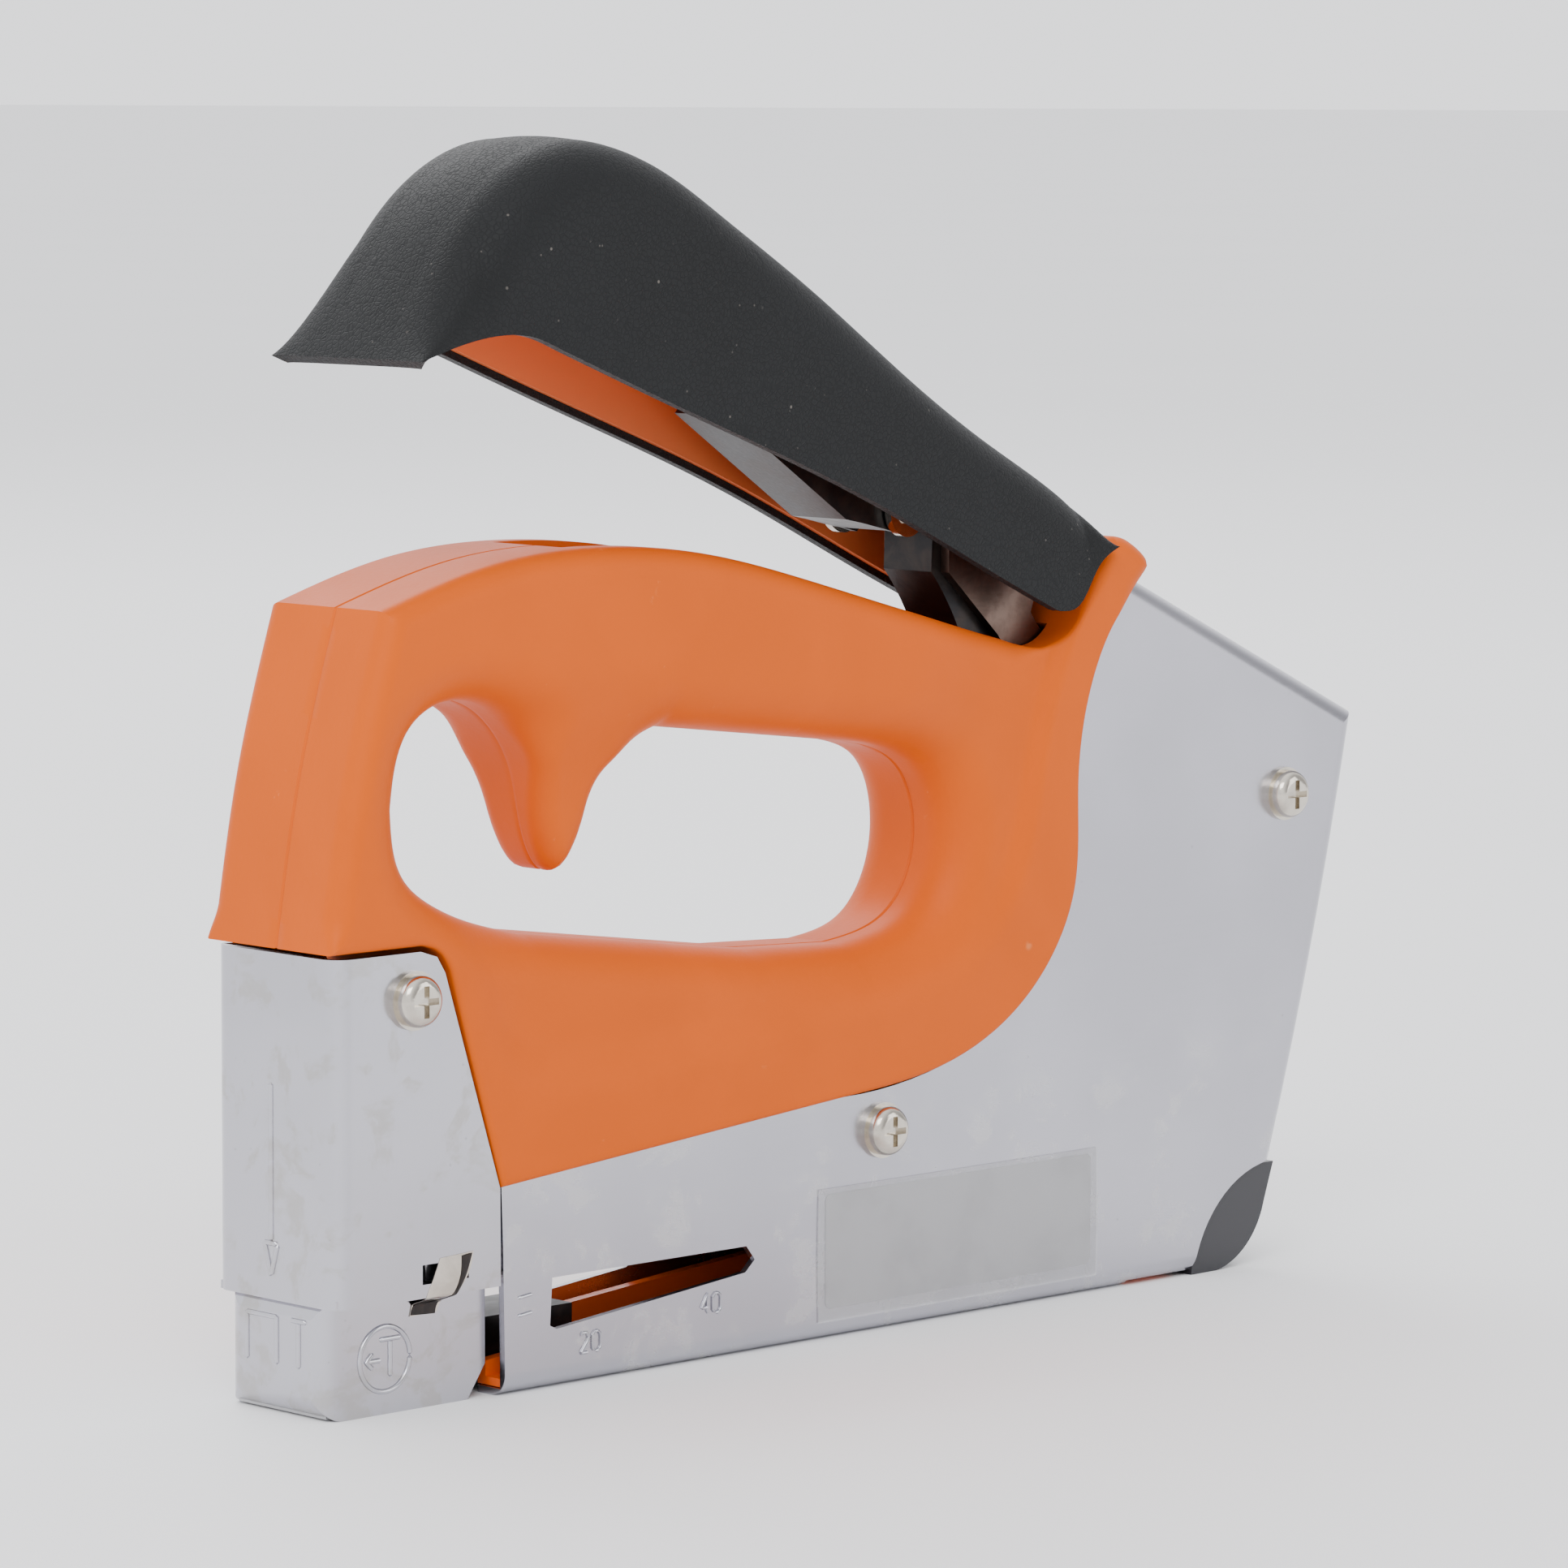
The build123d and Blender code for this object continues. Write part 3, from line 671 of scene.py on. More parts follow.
class Finish(Enum):
    """Every finish on the tool."""

    # The housing's second colour, lighter and low down, is a painted reflection.
    HOUSING = PlatedSteel("plated_housing", (0.46, 0.455, 0.50), (0.56, 0.555, 0.55), 0.45, 0.24, 30.0)
    NOSE = PlatedSteel("plated_nose", (0.48, 0.475, 0.515), (0.40, 0.38, 0.355), 0.55, 0.18, 60.0)
    HANDLE = MouldedPlastic("orange_moulding", (0.62, 0.098, 0.001), (0.70, 0.24, 0.08), 0.46, 0.55,
                            0.5, 0.12)
    LINER = MouldedPlastic("orange_liner", (0.86, 0.12, 0.012), (0.7, 0.2, 0.08), 0.22, 1.2, 0.1)
    LEVER = GrainedRubber("black_rubber_skin", (0.0065, 0.007, 0.0075), (0.20, 0.18, 0.16), 0.55)
    PAINT = SprayedPaint("orange_paint", (0.24, 0.009, 0.004), (0.19, 0.007, 0.003), 0.36)
    INLAY = MouldedPlastic("orange_inlay", (0.60, 0.065, 0.008), (0.7, 0.2, 0.08), 0.4, 0.6, 0.3)
    NICKEL = BareMetal("bright_nickel", (0.62, 0.575, 0.50), (0.42, 0.38, 0.33), 0.16)
    INNER = BareMetal("inner_steel", (0.30, 0.29, 0.28), (0.17, 0.15, 0.13), 0.38)
    BRONZED = BareMetal("bronzed_plate", (0.16, 0.115, 0.095), (0.075, 0.05, 0.04), 0.34)
    BLACKED = BareMetal("blacked_steel", (0.022, 0.021, 0.022), (0.05, 0.04, 0.035), 0.34, 0.85)
    WIRE = BareMetal("spring_wire", (0.34, 0.33, 0.33), (0.16, 0.14, 0.12), 0.3)
    GLOSS = MouldedPlastic("black_gloss", (0.010, 0.010, 0.012), (0.06, 0.06, 0.07), 0.16, 1.6, 0.5)
    LABEL = PrintedFilm("label_foil", (0.33, 0.33, 0.34), 0.42)
    FILM = PrintedFilm("clear_film", (0.60, 0.60, 0.62), 0.14, 0.3)

    def material(self) -> bpy.types.Material:
        """The finish's material, built once."""
        found = bpy.data.materials.get(self.value.name)
        return found or self.value.build()

    def on(self, thing: bpy.types.Object) -> None:
        """Puts the finish on every slot of a piece."""
        slots = thing.data.materials
        if not slots:
            slots.append(self.material())
        for k in range(len(slots)):
            slots[k] = self.material()


def mount(thing: bpy.types.Object, body: str, finish: Finish, slot: str, *nodes: str) -> bpy.types.Object:
    """Dresses a new piece, rides it on its body and hides the nodes that it stands for.

    Args:
        thing: the piece.
        body: the moving body that it goes with.
        finish: its finish.
        slot: the record's material slot; not used.
        *nodes: nodes that it replaces.

    Returns:
        The piece.
    """
    finish.on(thing)
    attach(thing, body)
    if nodes:
        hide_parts(*nodes)
    LOG.info("%s: %d faces on %s", thing.name, len(thing.data.polygons), body)
    return thing


# ---- the moulded grip ---------------------------------------------------------------------------
@dataclass
class Grip:
    """Orange moulding round the finger opening, from the nose to the collar behind the lever.

    The side view is a ring between an outer and an inner outline that are sampled together, span by
    span. A grid runs round that ring and across it, and the height of the skin above the middle
    plane follows the distance from both outlines.
    """

    half: float = 13.0
    rest_half: float = 7.2
    hole_round: float = 7.5
    rest_round: float = 3.3
    ridge_round: float = 3.2
    seam_round: float = 0.7
    parting: float = -1.5
    crest_depth: float = 1.5
    across: int = 44
    SEAM_ELBOW = np.array([138.6, 84.5])
    BULKHEAD_ELBOW = np.array([138.0, 93.0])

    def outlines(self) -> tuple[np.ndarray, np.ndarray]:
        """Outer and inner outline, with matching samples.

        Returns:
            Two closed outlines as (n, 2) arrays of x and z.
        """
        foot = through([(28.4, 28.1), (60.0, 30.85), (91.5, 33.6)], 60)
        sweep = through([(91.5, 33.6), (112.2, 36.5), (128.5, 45.1), (137.2, 59.0), (137.8, 74.4),
                         (140.5, 88.1), (145.6, 97.0), (151.2, 102.0)], 110)
        collar = through([(151.2, 102.0), (153.0, 104.2), (150.8, 106.8), (146.2, 108.4),
                          (142.6, 106.6)], 30)
        bulkhead = through([(142.6, 106.6), (139.2, 99.8), (135.8, 95.0), (131.6, 93.4),
                            (126.0, 94.7)], 34)
        top = through([(126.0, 94.7), (109.0, 99.0), (85.3, 105.4), (67.0, 109.6), (45.0, 111.3),
                       (28.0, 109.8), (9.5, 104.8)], 160)
        front = through([(9.5, 104.8), (3.4, 84.0), (-0.8, 61.2)], 50)
        nose = np.concatenate([evenly(np.array([(-0.8, 61.2), (14.8, 61.2)]), 18),
                               through([(14.8, 61.2), (17.6, 60.2), (19.4, 57.6)], 10)[1:],
                               evenly(np.array([(19.4, 57.6), (28.4, 28.1)]), 36)[1:]])
        parts = (foot, sweep, collar, bulkhead, top, front, nose)
        outer = np.concatenate([part[:-1] for part in parts])
        arch = through([(12.8, 79.0), (15.5, 88.0), (24.0, 92.0), (33.5, 89.5), (39.5, 81.5),
                        (41.8, 72.5), (45.6, 67.8), (49.2, 72.0), (51.8, 80.5), (61.0, 86.4)], 160)
        back = through([(100.0, 81.7), (112.5, 77.0), (115.6, 67.0), (111.0, 57.5), (98.0, 53.6)], 90)
        heel = through([(38.0, 60.2), (22.5, 65.0), (14.2, 71.5), (12.8, 79.0)], 60)
        ring = np.concatenate([arch[:-1], evenly(np.array([(61.0, 86.4), (100.0, 81.7)]), 60)[:-1],
                               back[:-1], evenly(np.array([(98.0, 53.6), (80.0, 54.4), (38.0, 60.2)]), 80)[:-1],
                               heel[:-1]])
        pairs = [((28.4, 28.1), (31.0, 61.8)), ((60.0, 30.85), (60.0, 57.2)),
                 ((91.5, 33.6), (92.0, 53.9)), ((112.2, 36.5), (106.0, 55.0)),
                 ((128.5, 45.1), (112.0, 59.0)), ((137.2, 59.0), (115.3, 65.0)),
                 ((137.8, 74.4), (115.2, 70.0)), ((140.5, 88.1), (114.2, 74.2)),
                 ((151.2, 102.0), (112.6, 76.6)), ((142.6, 106.6), (110.6, 78.3)),
                 ((139.2, 99.8), (108.0, 79.5)), ((131.6, 93.4), (105.4, 80.4)),
                 ((109.0, 99.0), (92.0, 82.7)), ((85.3, 105.4), (76.0, 84.6)),
                 ((67.0, 109.6), (61.0, 86.4)), ((55.0, 110.9), (51.8, 80.5)),
                 ((49.5, 111.2), (49.2, 72.0)), ((45.0, 111.3), (45.6, 67.8)),
                 ((41.0, 111.2), (41.8, 72.5)), ((36.0, 110.8), (38.8, 82.6)),
                 ((30.0, 110.1), (33.5, 89.5)), ((21.0, 108.3), (24.0, 92.0)),
                 ((9.5, 104.8), (15.5, 88.0)), ((3.4, 84.0), (12.8, 79.0)),
                 ((-0.8, 61.2), (15.2, 70.0)), ((14.8, 61.2), (20.5, 66.0)),
                 ((19.4, 57.6), (24.5, 64.2))]
        return self._matched(outer, ring, pairs)

    @staticmethod
    def _matched(outer: np.ndarray, inner: np.ndarray,
                 pairs: Sequence[tuple[tuple[float, float], tuple[float, float]]]
                 ) -> tuple[np.ndarray, np.ndarray]:
        """Cuts both outlines at paired places and samples each pair of spans alike.

        Args:
            outer: closed outline.
            inner: closed outline that runs the other way round.
            pairs: places on the outer and inner outline that face each other, in outer order.

        Returns:
            Both outlines with the same number of samples.
        """
        inner = inner[::-1]
        at_outer = [int(np.linalg.norm(outer - np.array(a), axis=1).argmin()) for a, _ in pairs]
        at_inner = [int(np.linalg.norm(inner - np.array(b), axis=1).argmin()) for _, b in pairs]
        found_outer, found_inner = [], []
        for k in range(len(pairs)):
            ends = (at_outer[k], at_outer[(k + 1) % len(pairs)])
            one = Grip._span(outer, *ends)
            other = Grip._span(inner, at_inner[k], at_inner[(k + 1) % len(pairs)])
            length = max(np.linalg.norm(np.diff(one, axis=0), axis=1).sum(),
                         np.linalg.norm(np.diff(other, axis=0), axis=1).sum())
            count = max(4, int(length / 0.75))
            found_outer.append(evenly(one, count)[:-1])
            found_inner.append(evenly(other, count)[:-1])
        return np.concatenate(found_outer), np.concatenate(found_inner)

    @staticmethod
    def _span(loop: np.ndarray, start: int, end: int) -> np.ndarray:
        """The stretch of a closed loop from one index to another, going forwards."""
        if end <= start:
            end += len(loop)
        return loop[np.arange(start, end + 1) % len(loop)]

    def crest(self) -> np.ndarray:
        """Soft line on the side: flat rim and foot outside it, scooped hand hold inside it."""
        return through([(18.6, 58.4), (21.5, 52.5), (25.4, 46.0), (32.5, 40.6), (48.4, 38.9), (70.0, 40.6),
                        (84.6, 42.6), (102.0, 44.6), (113.1, 47.0), (121.2, 52.6), (126.5, 60.6),
                        (129.4, 70.0), (131.4, 80.0), (134.6, 90.0), (139.4, 98.6), (144.0, 105.5)], 150)

    def heights(self, flat: np.ndarray, outer: np.ndarray, inner: np.ndarray) -> np.ndarray:
        """Height of the skin above the middle plane, from the distances to the outlines.

        Each edge is a quarter circle of its own radius, whose height is the side's less r, plus the
        root of r squared less (r - d) squared; the hand hold is scooped by a smooth step.

        Args:
            flat: (rows, columns, 2) points in x and z.
            outer: closed outer outline.
            inner: closed inner outline.

        Returns:
            (rows, columns) heights in millimetres.
        """
        x, z = flat[..., 0], flat[..., 1]
        from_hole = distance_to(flat, np.concatenate([inner, inner[:1]]))
        from_edge = distance_to(flat, np.concatenate([outer, outer[:1]]))
        rest = smoothstep(96.0, 76.0, z) * smoothstep(29.0, 38.0, x) * smoothstep(65.0, 50.0, x) * (z > 64.0)
        side = self.half + (self.rest_half - self.half) * rest
        hole_round = self.hole_round + (self.rest_round - self.hole_round) * smoothstep(0.15, 0.75, rest)
        on_top = smoothstep(60.0, 66.0, z) * smoothstep(131.0, 126.0, x)
        collar = smoothstep(131.0, 140.0, x) * smoothstep(97.0, 103.5, z)
        edge_round = self.seam_round + (self.ridge_round - self.seam_round) * np.maximum(on_top, 0.8 * collar)
        crest = self.crest()
        within = distance_to(flat, crest) * inside_of(flat, crest)
        sharp = smoothstep(112.0, 131.0, x)
        ramp = smoothstep(0.0, 7.5 - 4.5 * sharp, within)
        fade = 1.0 - smoothstep(12.0, 30.0, within) * smoothstep(66.0, 84.0, z)
        ahead = smoothstep(17.5, 34.0, x)
        scoop = self.crest_depth * ramp * fade * ahead
        side = side - scoop
        for radius, gap in ((edge_round, from_edge), (hole_round, from_hole)):
            drop = np.clip(radius - gap, 0.0, radius)
            side = side - (radius - np.sqrt(np.maximum(radius ** 2 - drop ** 2, 0.0)))
        return np.maximum(side, 1.0)

    def skin(self) -> bpy.types.Object:
        """The whole moulding, closed, with its parting groove, before it is hollowed.

        Returns:
            The piece.
        """
        outer, inner = self.outlines()
        share = np.linspace(0.0, 1.0, self.across)
        packed = 0.5 - 0.5 * np.cos(np.pi * share)
        packed = 0.72 * packed + 0.28 * (0.5 - 0.5 * np.cos(np.pi * packed))
        flat = self._relaxed(outer, inner, packed)
        height = self.heights(flat, outer, inner)
        near = np.stack([flat[..., 0], -height, flat[..., 1]], axis=-1)
        far = near * np.array([1.0, -1.0, 1.0])
        hole_wall = self._wall(inner, flat[:, -8, :], height[:, -1])
        outer_wall = self._wall(outer, flat[:, 8, :], height[:, 0])
        table = np.concatenate([near, hole_wall, far[:, ::-1], outer_wall[:, ::-1]], axis=1)
        return Sheet().grid(table, close_rows=True, close_columns=True).piece("grip_shell", 1e-7)

    @staticmethod
    def _relaxed(outer: np.ndarray, inner: np.ndarray, shares: np.ndarray, rounds: int = 160) -> np.ndarray:
        """Grid between two closed outlines whose lines never cross.

        The points solve Winslow's equations, a p_uu - 2 b p_uv + g p_vv = 0 with a, b and g the
        products of the grid's own slopes, by repeated averaging from straight lines.

        Args:
            outer: closed outline.
            inner: closed outline with as many samples.
            shares: where the columns go, 0 at the outer outline and 1 at the inner one.

        Returns:
            (rows, columns, 2) points.
        """
        coarse = np.linspace(0.0, 1.0, 19)
        t = coarse[None, :, None]
        collar = smoothstep(125.0, 134.0, outer[:, :1]) * smoothstep(78.0, 92.0, outer[:, 1:])
        way = np.cumsum(collar, axis=0) / collar.sum()
        bend = Grip.SEAM_ELBOW * (1 - way) + Grip.BULKHEAD_ELBOW * way
        elbow = 0.5 * (outer + inner) + collar * (bend - 0.5 * (outer + inner))
        grid = ((1 - t) ** 2 * outer[:, None, :] + 2 * t * (1 - t) * elbow[:, None, :]
                + t ** 2 * inner[:, None, :])
        for _ in range(rounds):
            after, before = np.roll(grid, -1, axis=0), np.roll(grid, 1, axis=0)
            along = 0.5 * (after - before)[:, 1:-1]
            across = 0.5 * (grid[:, 2:] - grid[:, :-2])
            a = np.sum(across * across, axis=2, keepdims=True)
            b = np.sum(along * across, axis=2, keepdims=True)
            g = np.sum(along * along, axis=2, keepdims=True)
            corner = 0.25 * (after[:, 2:] - after[:, :-2] - before[:, 2:] + before[:, :-2])
            moved = a * (after + before)[:, 1:-1] + g * (grid[:, 2:] + grid[:, :-2]) - 2.0 * b * corner
            moved = moved / np.maximum(2.0 * (a + g), 1e-9)
            grid[:, 1:-1] = 0.2 * grid[:, 1:-1] + 0.8 * moved
        at = shares * (len(coarse) - 1)
        left = np.clip(at.astype(int), 0, len(coarse) - 2)
        part = (at - left)[None, :, None]
        return grid[:, left] * (1 - part) + grid[:, left + 1] * part

    def _wall(self, edge: np.ndarray, back: np.ndarray, height: np.ndarray) -> np.ndarray:
        """Wall between the two skins at an outline, slightly crowned, with the parting groove.

        Args:
            edge: the outline.
            back: points a little way into the moulding from it.
            height: where the skins end.

        Returns:
            (rows, columns, 3) points from the near skin to the far one.
        """
        tall = height[:, None]
        groove = np.maximum(self.parting, -0.5 * tall) + np.array([[-0.32, -0.13, 0.0, 0.13, 0.32]])
        depth = np.array([0.0, 0.16, 0.22, 0.16, 0.0])
        start, end = groove[:, :1], groove[:, -1:]
        share = np.array([[0.12, 0.35, 0.6, 0.85]])
        near, far = -tall + share * (start + tall), end + (1.0 - share[:, ::-1]) * (tall - end)
        y = np.concatenate([near, groove, far], axis=1)
        inward = back - edge
        inward = inward / np.maximum(np.linalg.norm(inward, axis=1, keepdims=True), 1e-6)
        sink = np.zeros_like(y)
        sink[:, 4:9] = depth
        move = inward[:, None, :] * sink[..., None]
        x, z = edge[:, None, 0] + move[..., 0], edge[:, None, 1] + move[..., 1]
        return np.stack([x, y, z], axis=-1)

    def hollows(self) -> list[bpy.types.Object]:
        """Cutters for the slot in the top and the room for the rocker, arm and brackets."""
        slot = [(44.0, 120.0), (44.0, 96.0), (60.0, 94.0), (112.0, 87.5), (150.0, 82.0), (152.0, 93.5),
                (141.0, 94.5), (136.4, 96.6), (134.0, 99.0), (134.0, 120.0)]
        room = [(15.0, 20.0), (15.0, 48.5), (30.0, 48.5), (104.0, 46.5), (121.5, 55.5), (123.0, 64.0),
                (122.0, 78.0), (118.0, 86.0), (137.2, 88.2), (146.0, 92.8), (160.0, 92.0), (160.0, 20.0)]
        return [self._hollow("slot_cutter", slot, 6.9), self._hollow("room_cutter", room, 8.2)]

    @staticmethod
    def _hollow(name: str, outline: Points, half: float) -> bpy.types.Object:
        """A prism with any simple side outline, filled by triangles at both ends.

        Args:
            name: the cutter's name.
            outline: its corners in x and z, in order.
            half: half its width.

        Returns:
            The cutter.
        """
        work = bmesh.new()
        rings = [[work.verts.new(place(np.array((x, y, z)))) for x, z in outline] for y in (-half, half)]
        for k in range(len(outline)):
            after = (k + 1) % len(outline)
            work.faces.new((rings[0][k], rings[0][after], rings[1][after], rings[1][k]))
        for ring in rings:
            work.faces.new(ring)
        bmesh.ops.triangulate(work, faces=[f for f in work.faces if len(f.verts) > 4])
        bmesh.ops.recalc_face_normals(work, faces=work.faces)
        mesh = bpy.data.meshes.new(name)
        work.to_mesh(mesh)
        work.free()
        thing = bpy.data.objects.new(name, mesh)
        bpy.context.scene.collection.objects.link(thing)
        return thing

    def build(self) -> None:
        """Builds and dresses the moulding."""
        moulding = self.skin()
        for tool in self.hollows():
            cut(moulding, tool)
        mount(moulding, "frame", Finish.HANDLE, "orange_plastic", "grip_shell_left", "grip_shell_right")


# ---- the lever ----------------------------------------------------------------------------------
@dataclass
class Lever:
    """Pressed steel channel in a rubber skin, with a duck-bill front.

    The form is a row of upright arches carried along the crown line. An arch runs from one skirt
    edge up the side, round a shoulder whose drop grows with the crown's slope, and over the top.
    """

    half: float = 15.0
    shoulder: float = 9.0
    rubber: float = 1.7
    sheet: float = 1.2
    swell: float = 0.35
    channel_lift: float = 1.1
    inlay_middle: float = 75.0
    inlay_length: float = 40.0
    inlay_half: float = 3.2
    rows: int = 150
    columns: int = 72

    def crown(self) -> np.ndarray:
        """Crown line from the front lip to the rear end."""
        return through([(12.6, 136.9), (15.6, 141.2), (20.0, 147.6), (28.0, 157.3), (35.0, 162.4),
                        (42.5, 164.9), (51.0, 164.3), (60.0, 161.2), (70.0, 155.6), (87.0, 145.3),
                        (106.0, 132.6), (122.0, 123.0), (135.0, 115.9), (140.2, 112.0), (143.4, 107.6)],
                       self.rows)

    def skirt(self) -> np.ndarray:
        """Lower edge of the skirts, from the front lip to the rear end."""
        return np.concatenate([through([(12.0, 136.6), (20.0, 138.9), (27.0, 139.9), (31.5, 139.6),
                                        (37.0, 137.7)], 60)[:-1],
                               through([(37.0, 137.7), (61.1, 128.5), (94.7, 115.5), (121.9, 102.9),
                                        (131.0, 98.8)], 120)[:-1],
                               through([(131.0, 98.8), (134.5, 99.0), (139.6, 105.2), (143.6, 107.4)], 40)])

    def form(self, inset: float, lift: float = 0.0) -> np.ndarray:
        """Surface of the lever at one depth below its skin.

        An arch's height over its width is a superellipse, z = top - drop (1 - (1 - u^n)^(1/n)) with
        u the share of the half width past the flat crown.

        Args:
            inset: depth below the skin.
            lift: how far the skirt edge is pulled up.

        Returns:
            (rows, columns, 3) points.
        """
        line = self.crown()
        tangent = np.gradient(line, axis=0)
        tangent /= np.linalg.norm(tangent, axis=1, keepdims=True)
        inner = line + inset * np.stack([tangent[:, 1], -tangent[:, 0]], axis=1)
        x, top = inner[:, 0], inner[:, 1]
        steep = 1.0 / np.maximum(np.abs(tangent[:, 0]), 0.42)
        edge_line = self.skirt()
        low = np.interp(x, edge_line[:, 0], edge_line[:, 1]) + lift
        low = np.minimum(low, top - 0.15)
        half = self.half - inset
        radius = max(self.shoulder - inset, 2.0)
        drop = np.minimum(radius * np.minimum(steep, 1.9), np.maximum(top - low, 0.1))
        turn = np.linspace(0.0, 0.5 * np.pi, self.columns // 4)
        cap = self.columns // 4
        wide = half - radius
        side_share = np.linspace(0.0, 1.0, cap)[:-1]
        side_y = np.full((len(x), cap - 1), half)
        side_z = low[:, None] + (top - drop - low)[:, None] * side_share[None, :]
        arc_y = np.broadcast_to(wide + radius * np.cos(turn) ** 0.9, (len(x), cap))
        arc_z = top[:, None] - drop[:, None] * (1.0 - np.sin(turn)[None, :] ** 0.9)
        flat_share = np.linspace(0.0, 1.0, cap // 2 + 1)[1:]
        flat_y = np.broadcast_to(wide * (1.0 - flat_share), (len(x), len(flat_share)))
        swell = self.swell * np.minimum(1.0, (top - low) / 6.0)
        flat_z = top[:, None] + swell[:, None] * (1.0 - (flat_y / wide) ** 2)
        y = np.concatenate([side_y, arc_y, flat_y], axis=1)
        z = np.concatenate([side_z, arc_z, flat_z], axis=1)
        y = np.concatenate([-y, y[:, -2::-1]], axis=1)
        z = np.concatenate([z, z[:, -2::-1]], axis=1)
        return np.stack([np.broadcast_to(x[:, None], y.shape), y, z], axis=-1)

    def shell(self, name: str, outside: np.ndarray, inside: np.ndarray) -> bpy.types.Object:
        """A closed wall between two surfaces that share their grid.

        Args:
            name: the piece's name.
            outside: the outer surface.
            inside: the inner surface.

        Returns:
            The piece.
        """
        table = np.concatenate([outside, inside[:, ::-1]], axis=1)
        sheet = Sheet().grid(table, close_columns=True)
        for row, flip in ((0, False), (-1, True)):
            ends = np.stack([outside[row], inside[row]], axis=0)
            sheet.grid(ends, flip=flip)
        return sheet.piece(name)

    def inlay(self) -> bpy.types.Object:
        """Oblong inlay that stands a little proud of the crown.

        Returns:
            The piece.
        """
        half = self.inlay_half
        around = np.linspace(0.0, 2.0 * np.pi, 96, endpoint=False)
        reach = np.sign(np.cos(around)) * (0.5 * self.inlay_length - half) + half * np.cos(around)
        ring_y = half * np.sin(around)
        size = np.array([0.02, 0.35, 0.7, 0.9, 0.97, 1.0, 1.0])
        rise = np.array([0.62, 0.62, 0.60, 0.52, 0.40, 0.15, -0.8])
        x = self.inlay_middle + reach[None, :] * size[:, None]
        y = ring_y[None, :] * size[:, None]
        line = self.crown()
        z = np.interp(x, line[:, 0], line[:, 1]) + self.swell * (1.0 - (y / 6.0) ** 2) + rise[:, None]
        return Sheet().grid(np.stack([x, y, z], axis=-1), close_columns=True).piece("lever_inlay_raised")

    def build(self) -> None:
        """Builds the skin, its channel and the inlay."""
        skin = self.shell("lever_skin", self.form(0.0), self.form(self.rubber))
        mount(skin, "lever", Finish.LEVER, "black_rubber", "lever_grip")
        kept = slice(9, -5)
        surfaces = [self.form(inset, self.channel_lift)[kept]
                    for inset in (self.rubber + 0.03, self.rubber + self.sheet)]
        channel = self.shell("lever_channel_pressing", *surfaces)
        mount(channel, "lever", Finish.PAINT, "orange_paint", "lever_channel")
        mount(self.inlay(), "lever", Finish.INLAY, "orange_paint", "lever_inlay")


# ---- embossed marks -----------------------------------------------------------------------------
@dataclass
class Marks:
    """Pictograms and scale figures pressed up from the sheet as half-round ridges."""

    width: float = 0.72
    rise: float = 0.36

    def ridge(self, sheet: Sheet, path: np.ndarray, plane: "Placing") -> None:
        """Carries a half-round profile along a path on a flat face.

        Args:
            sheet: where the ridge goes.
            path: (n, 2) points on the face.
            plane: which face it lies on.
        """
        path = evenly(path, max(3, int(np.linalg.norm(np.diff(path, axis=0), axis=1).sum() / 0.35) + 2))
        along = np.gradient(path, axis=0)
        along /= np.maximum(np.linalg.norm(along, axis=1, keepdims=True), 1e-9)
        across = np.stack([-along[:, 1], along[:, 0]], axis=1)
        around = np.linspace(0.0, np.pi, 7)
        taper = np.ones(len(path))
        taper[[0, -1]] = 0.12
        offset = 0.5 * self.width * np.cos(around)
        height = self.rise * np.sin(around)
        flat = path[:, None, :] + across[:, None, :] * (offset[None, :] * taper[:, None])[..., None]
        up = height[None, :] * taper[:, None] - 0.02
        sheet.grid(plane.value(flat, up))

    @staticmethod
    def circle(x: float, z: float, radius: float) -> np.ndarray:
        """A full circle as a path."""
        turn = np.linspace(0.0, 2.0 * np.pi, 41)
        return np.stack([x + radius * np.cos(turn), z + radius * np.sin(turn)], axis=1)


def on_front(flat: np.ndarray, up: np.ndarray) -> np.ndarray:
    """Front of the nose plate: the path's axes are y and z, and up is forwards."""
    return np.stack([-up, flat[..., 0], flat[..., 1]], axis=-1)


def on_low_side(flat: np.ndarray, up: np.ndarray) -> np.ndarray:
    """Near side of the nose's stepped-in foot."""
    return np.stack([flat[..., 0], -FOOT_HALF - up, flat[..., 1]], axis=-1)


def on_body_side(flat: np.ndarray, up: np.ndarray) -> np.ndarray:
    """Near side of the housing."""
    return np.stack([flat[..., 0], -BODY_HALF - up, flat[..., 1]], axis=-1)


@dataclass(frozen=True)
class Placing:
    """How a path's points are laid on one flat face."""

    lay: Any

    def value(self, flat: np.ndarray, up: np.ndarray) -> np.ndarray:
        """Points of a ridge on the face."""
        return self.lay(flat, up)


FRONT, LOW_SIDE, BODY_SIDE = Placing(on_front), Placing(on_low_side), Placing(on_body_side)


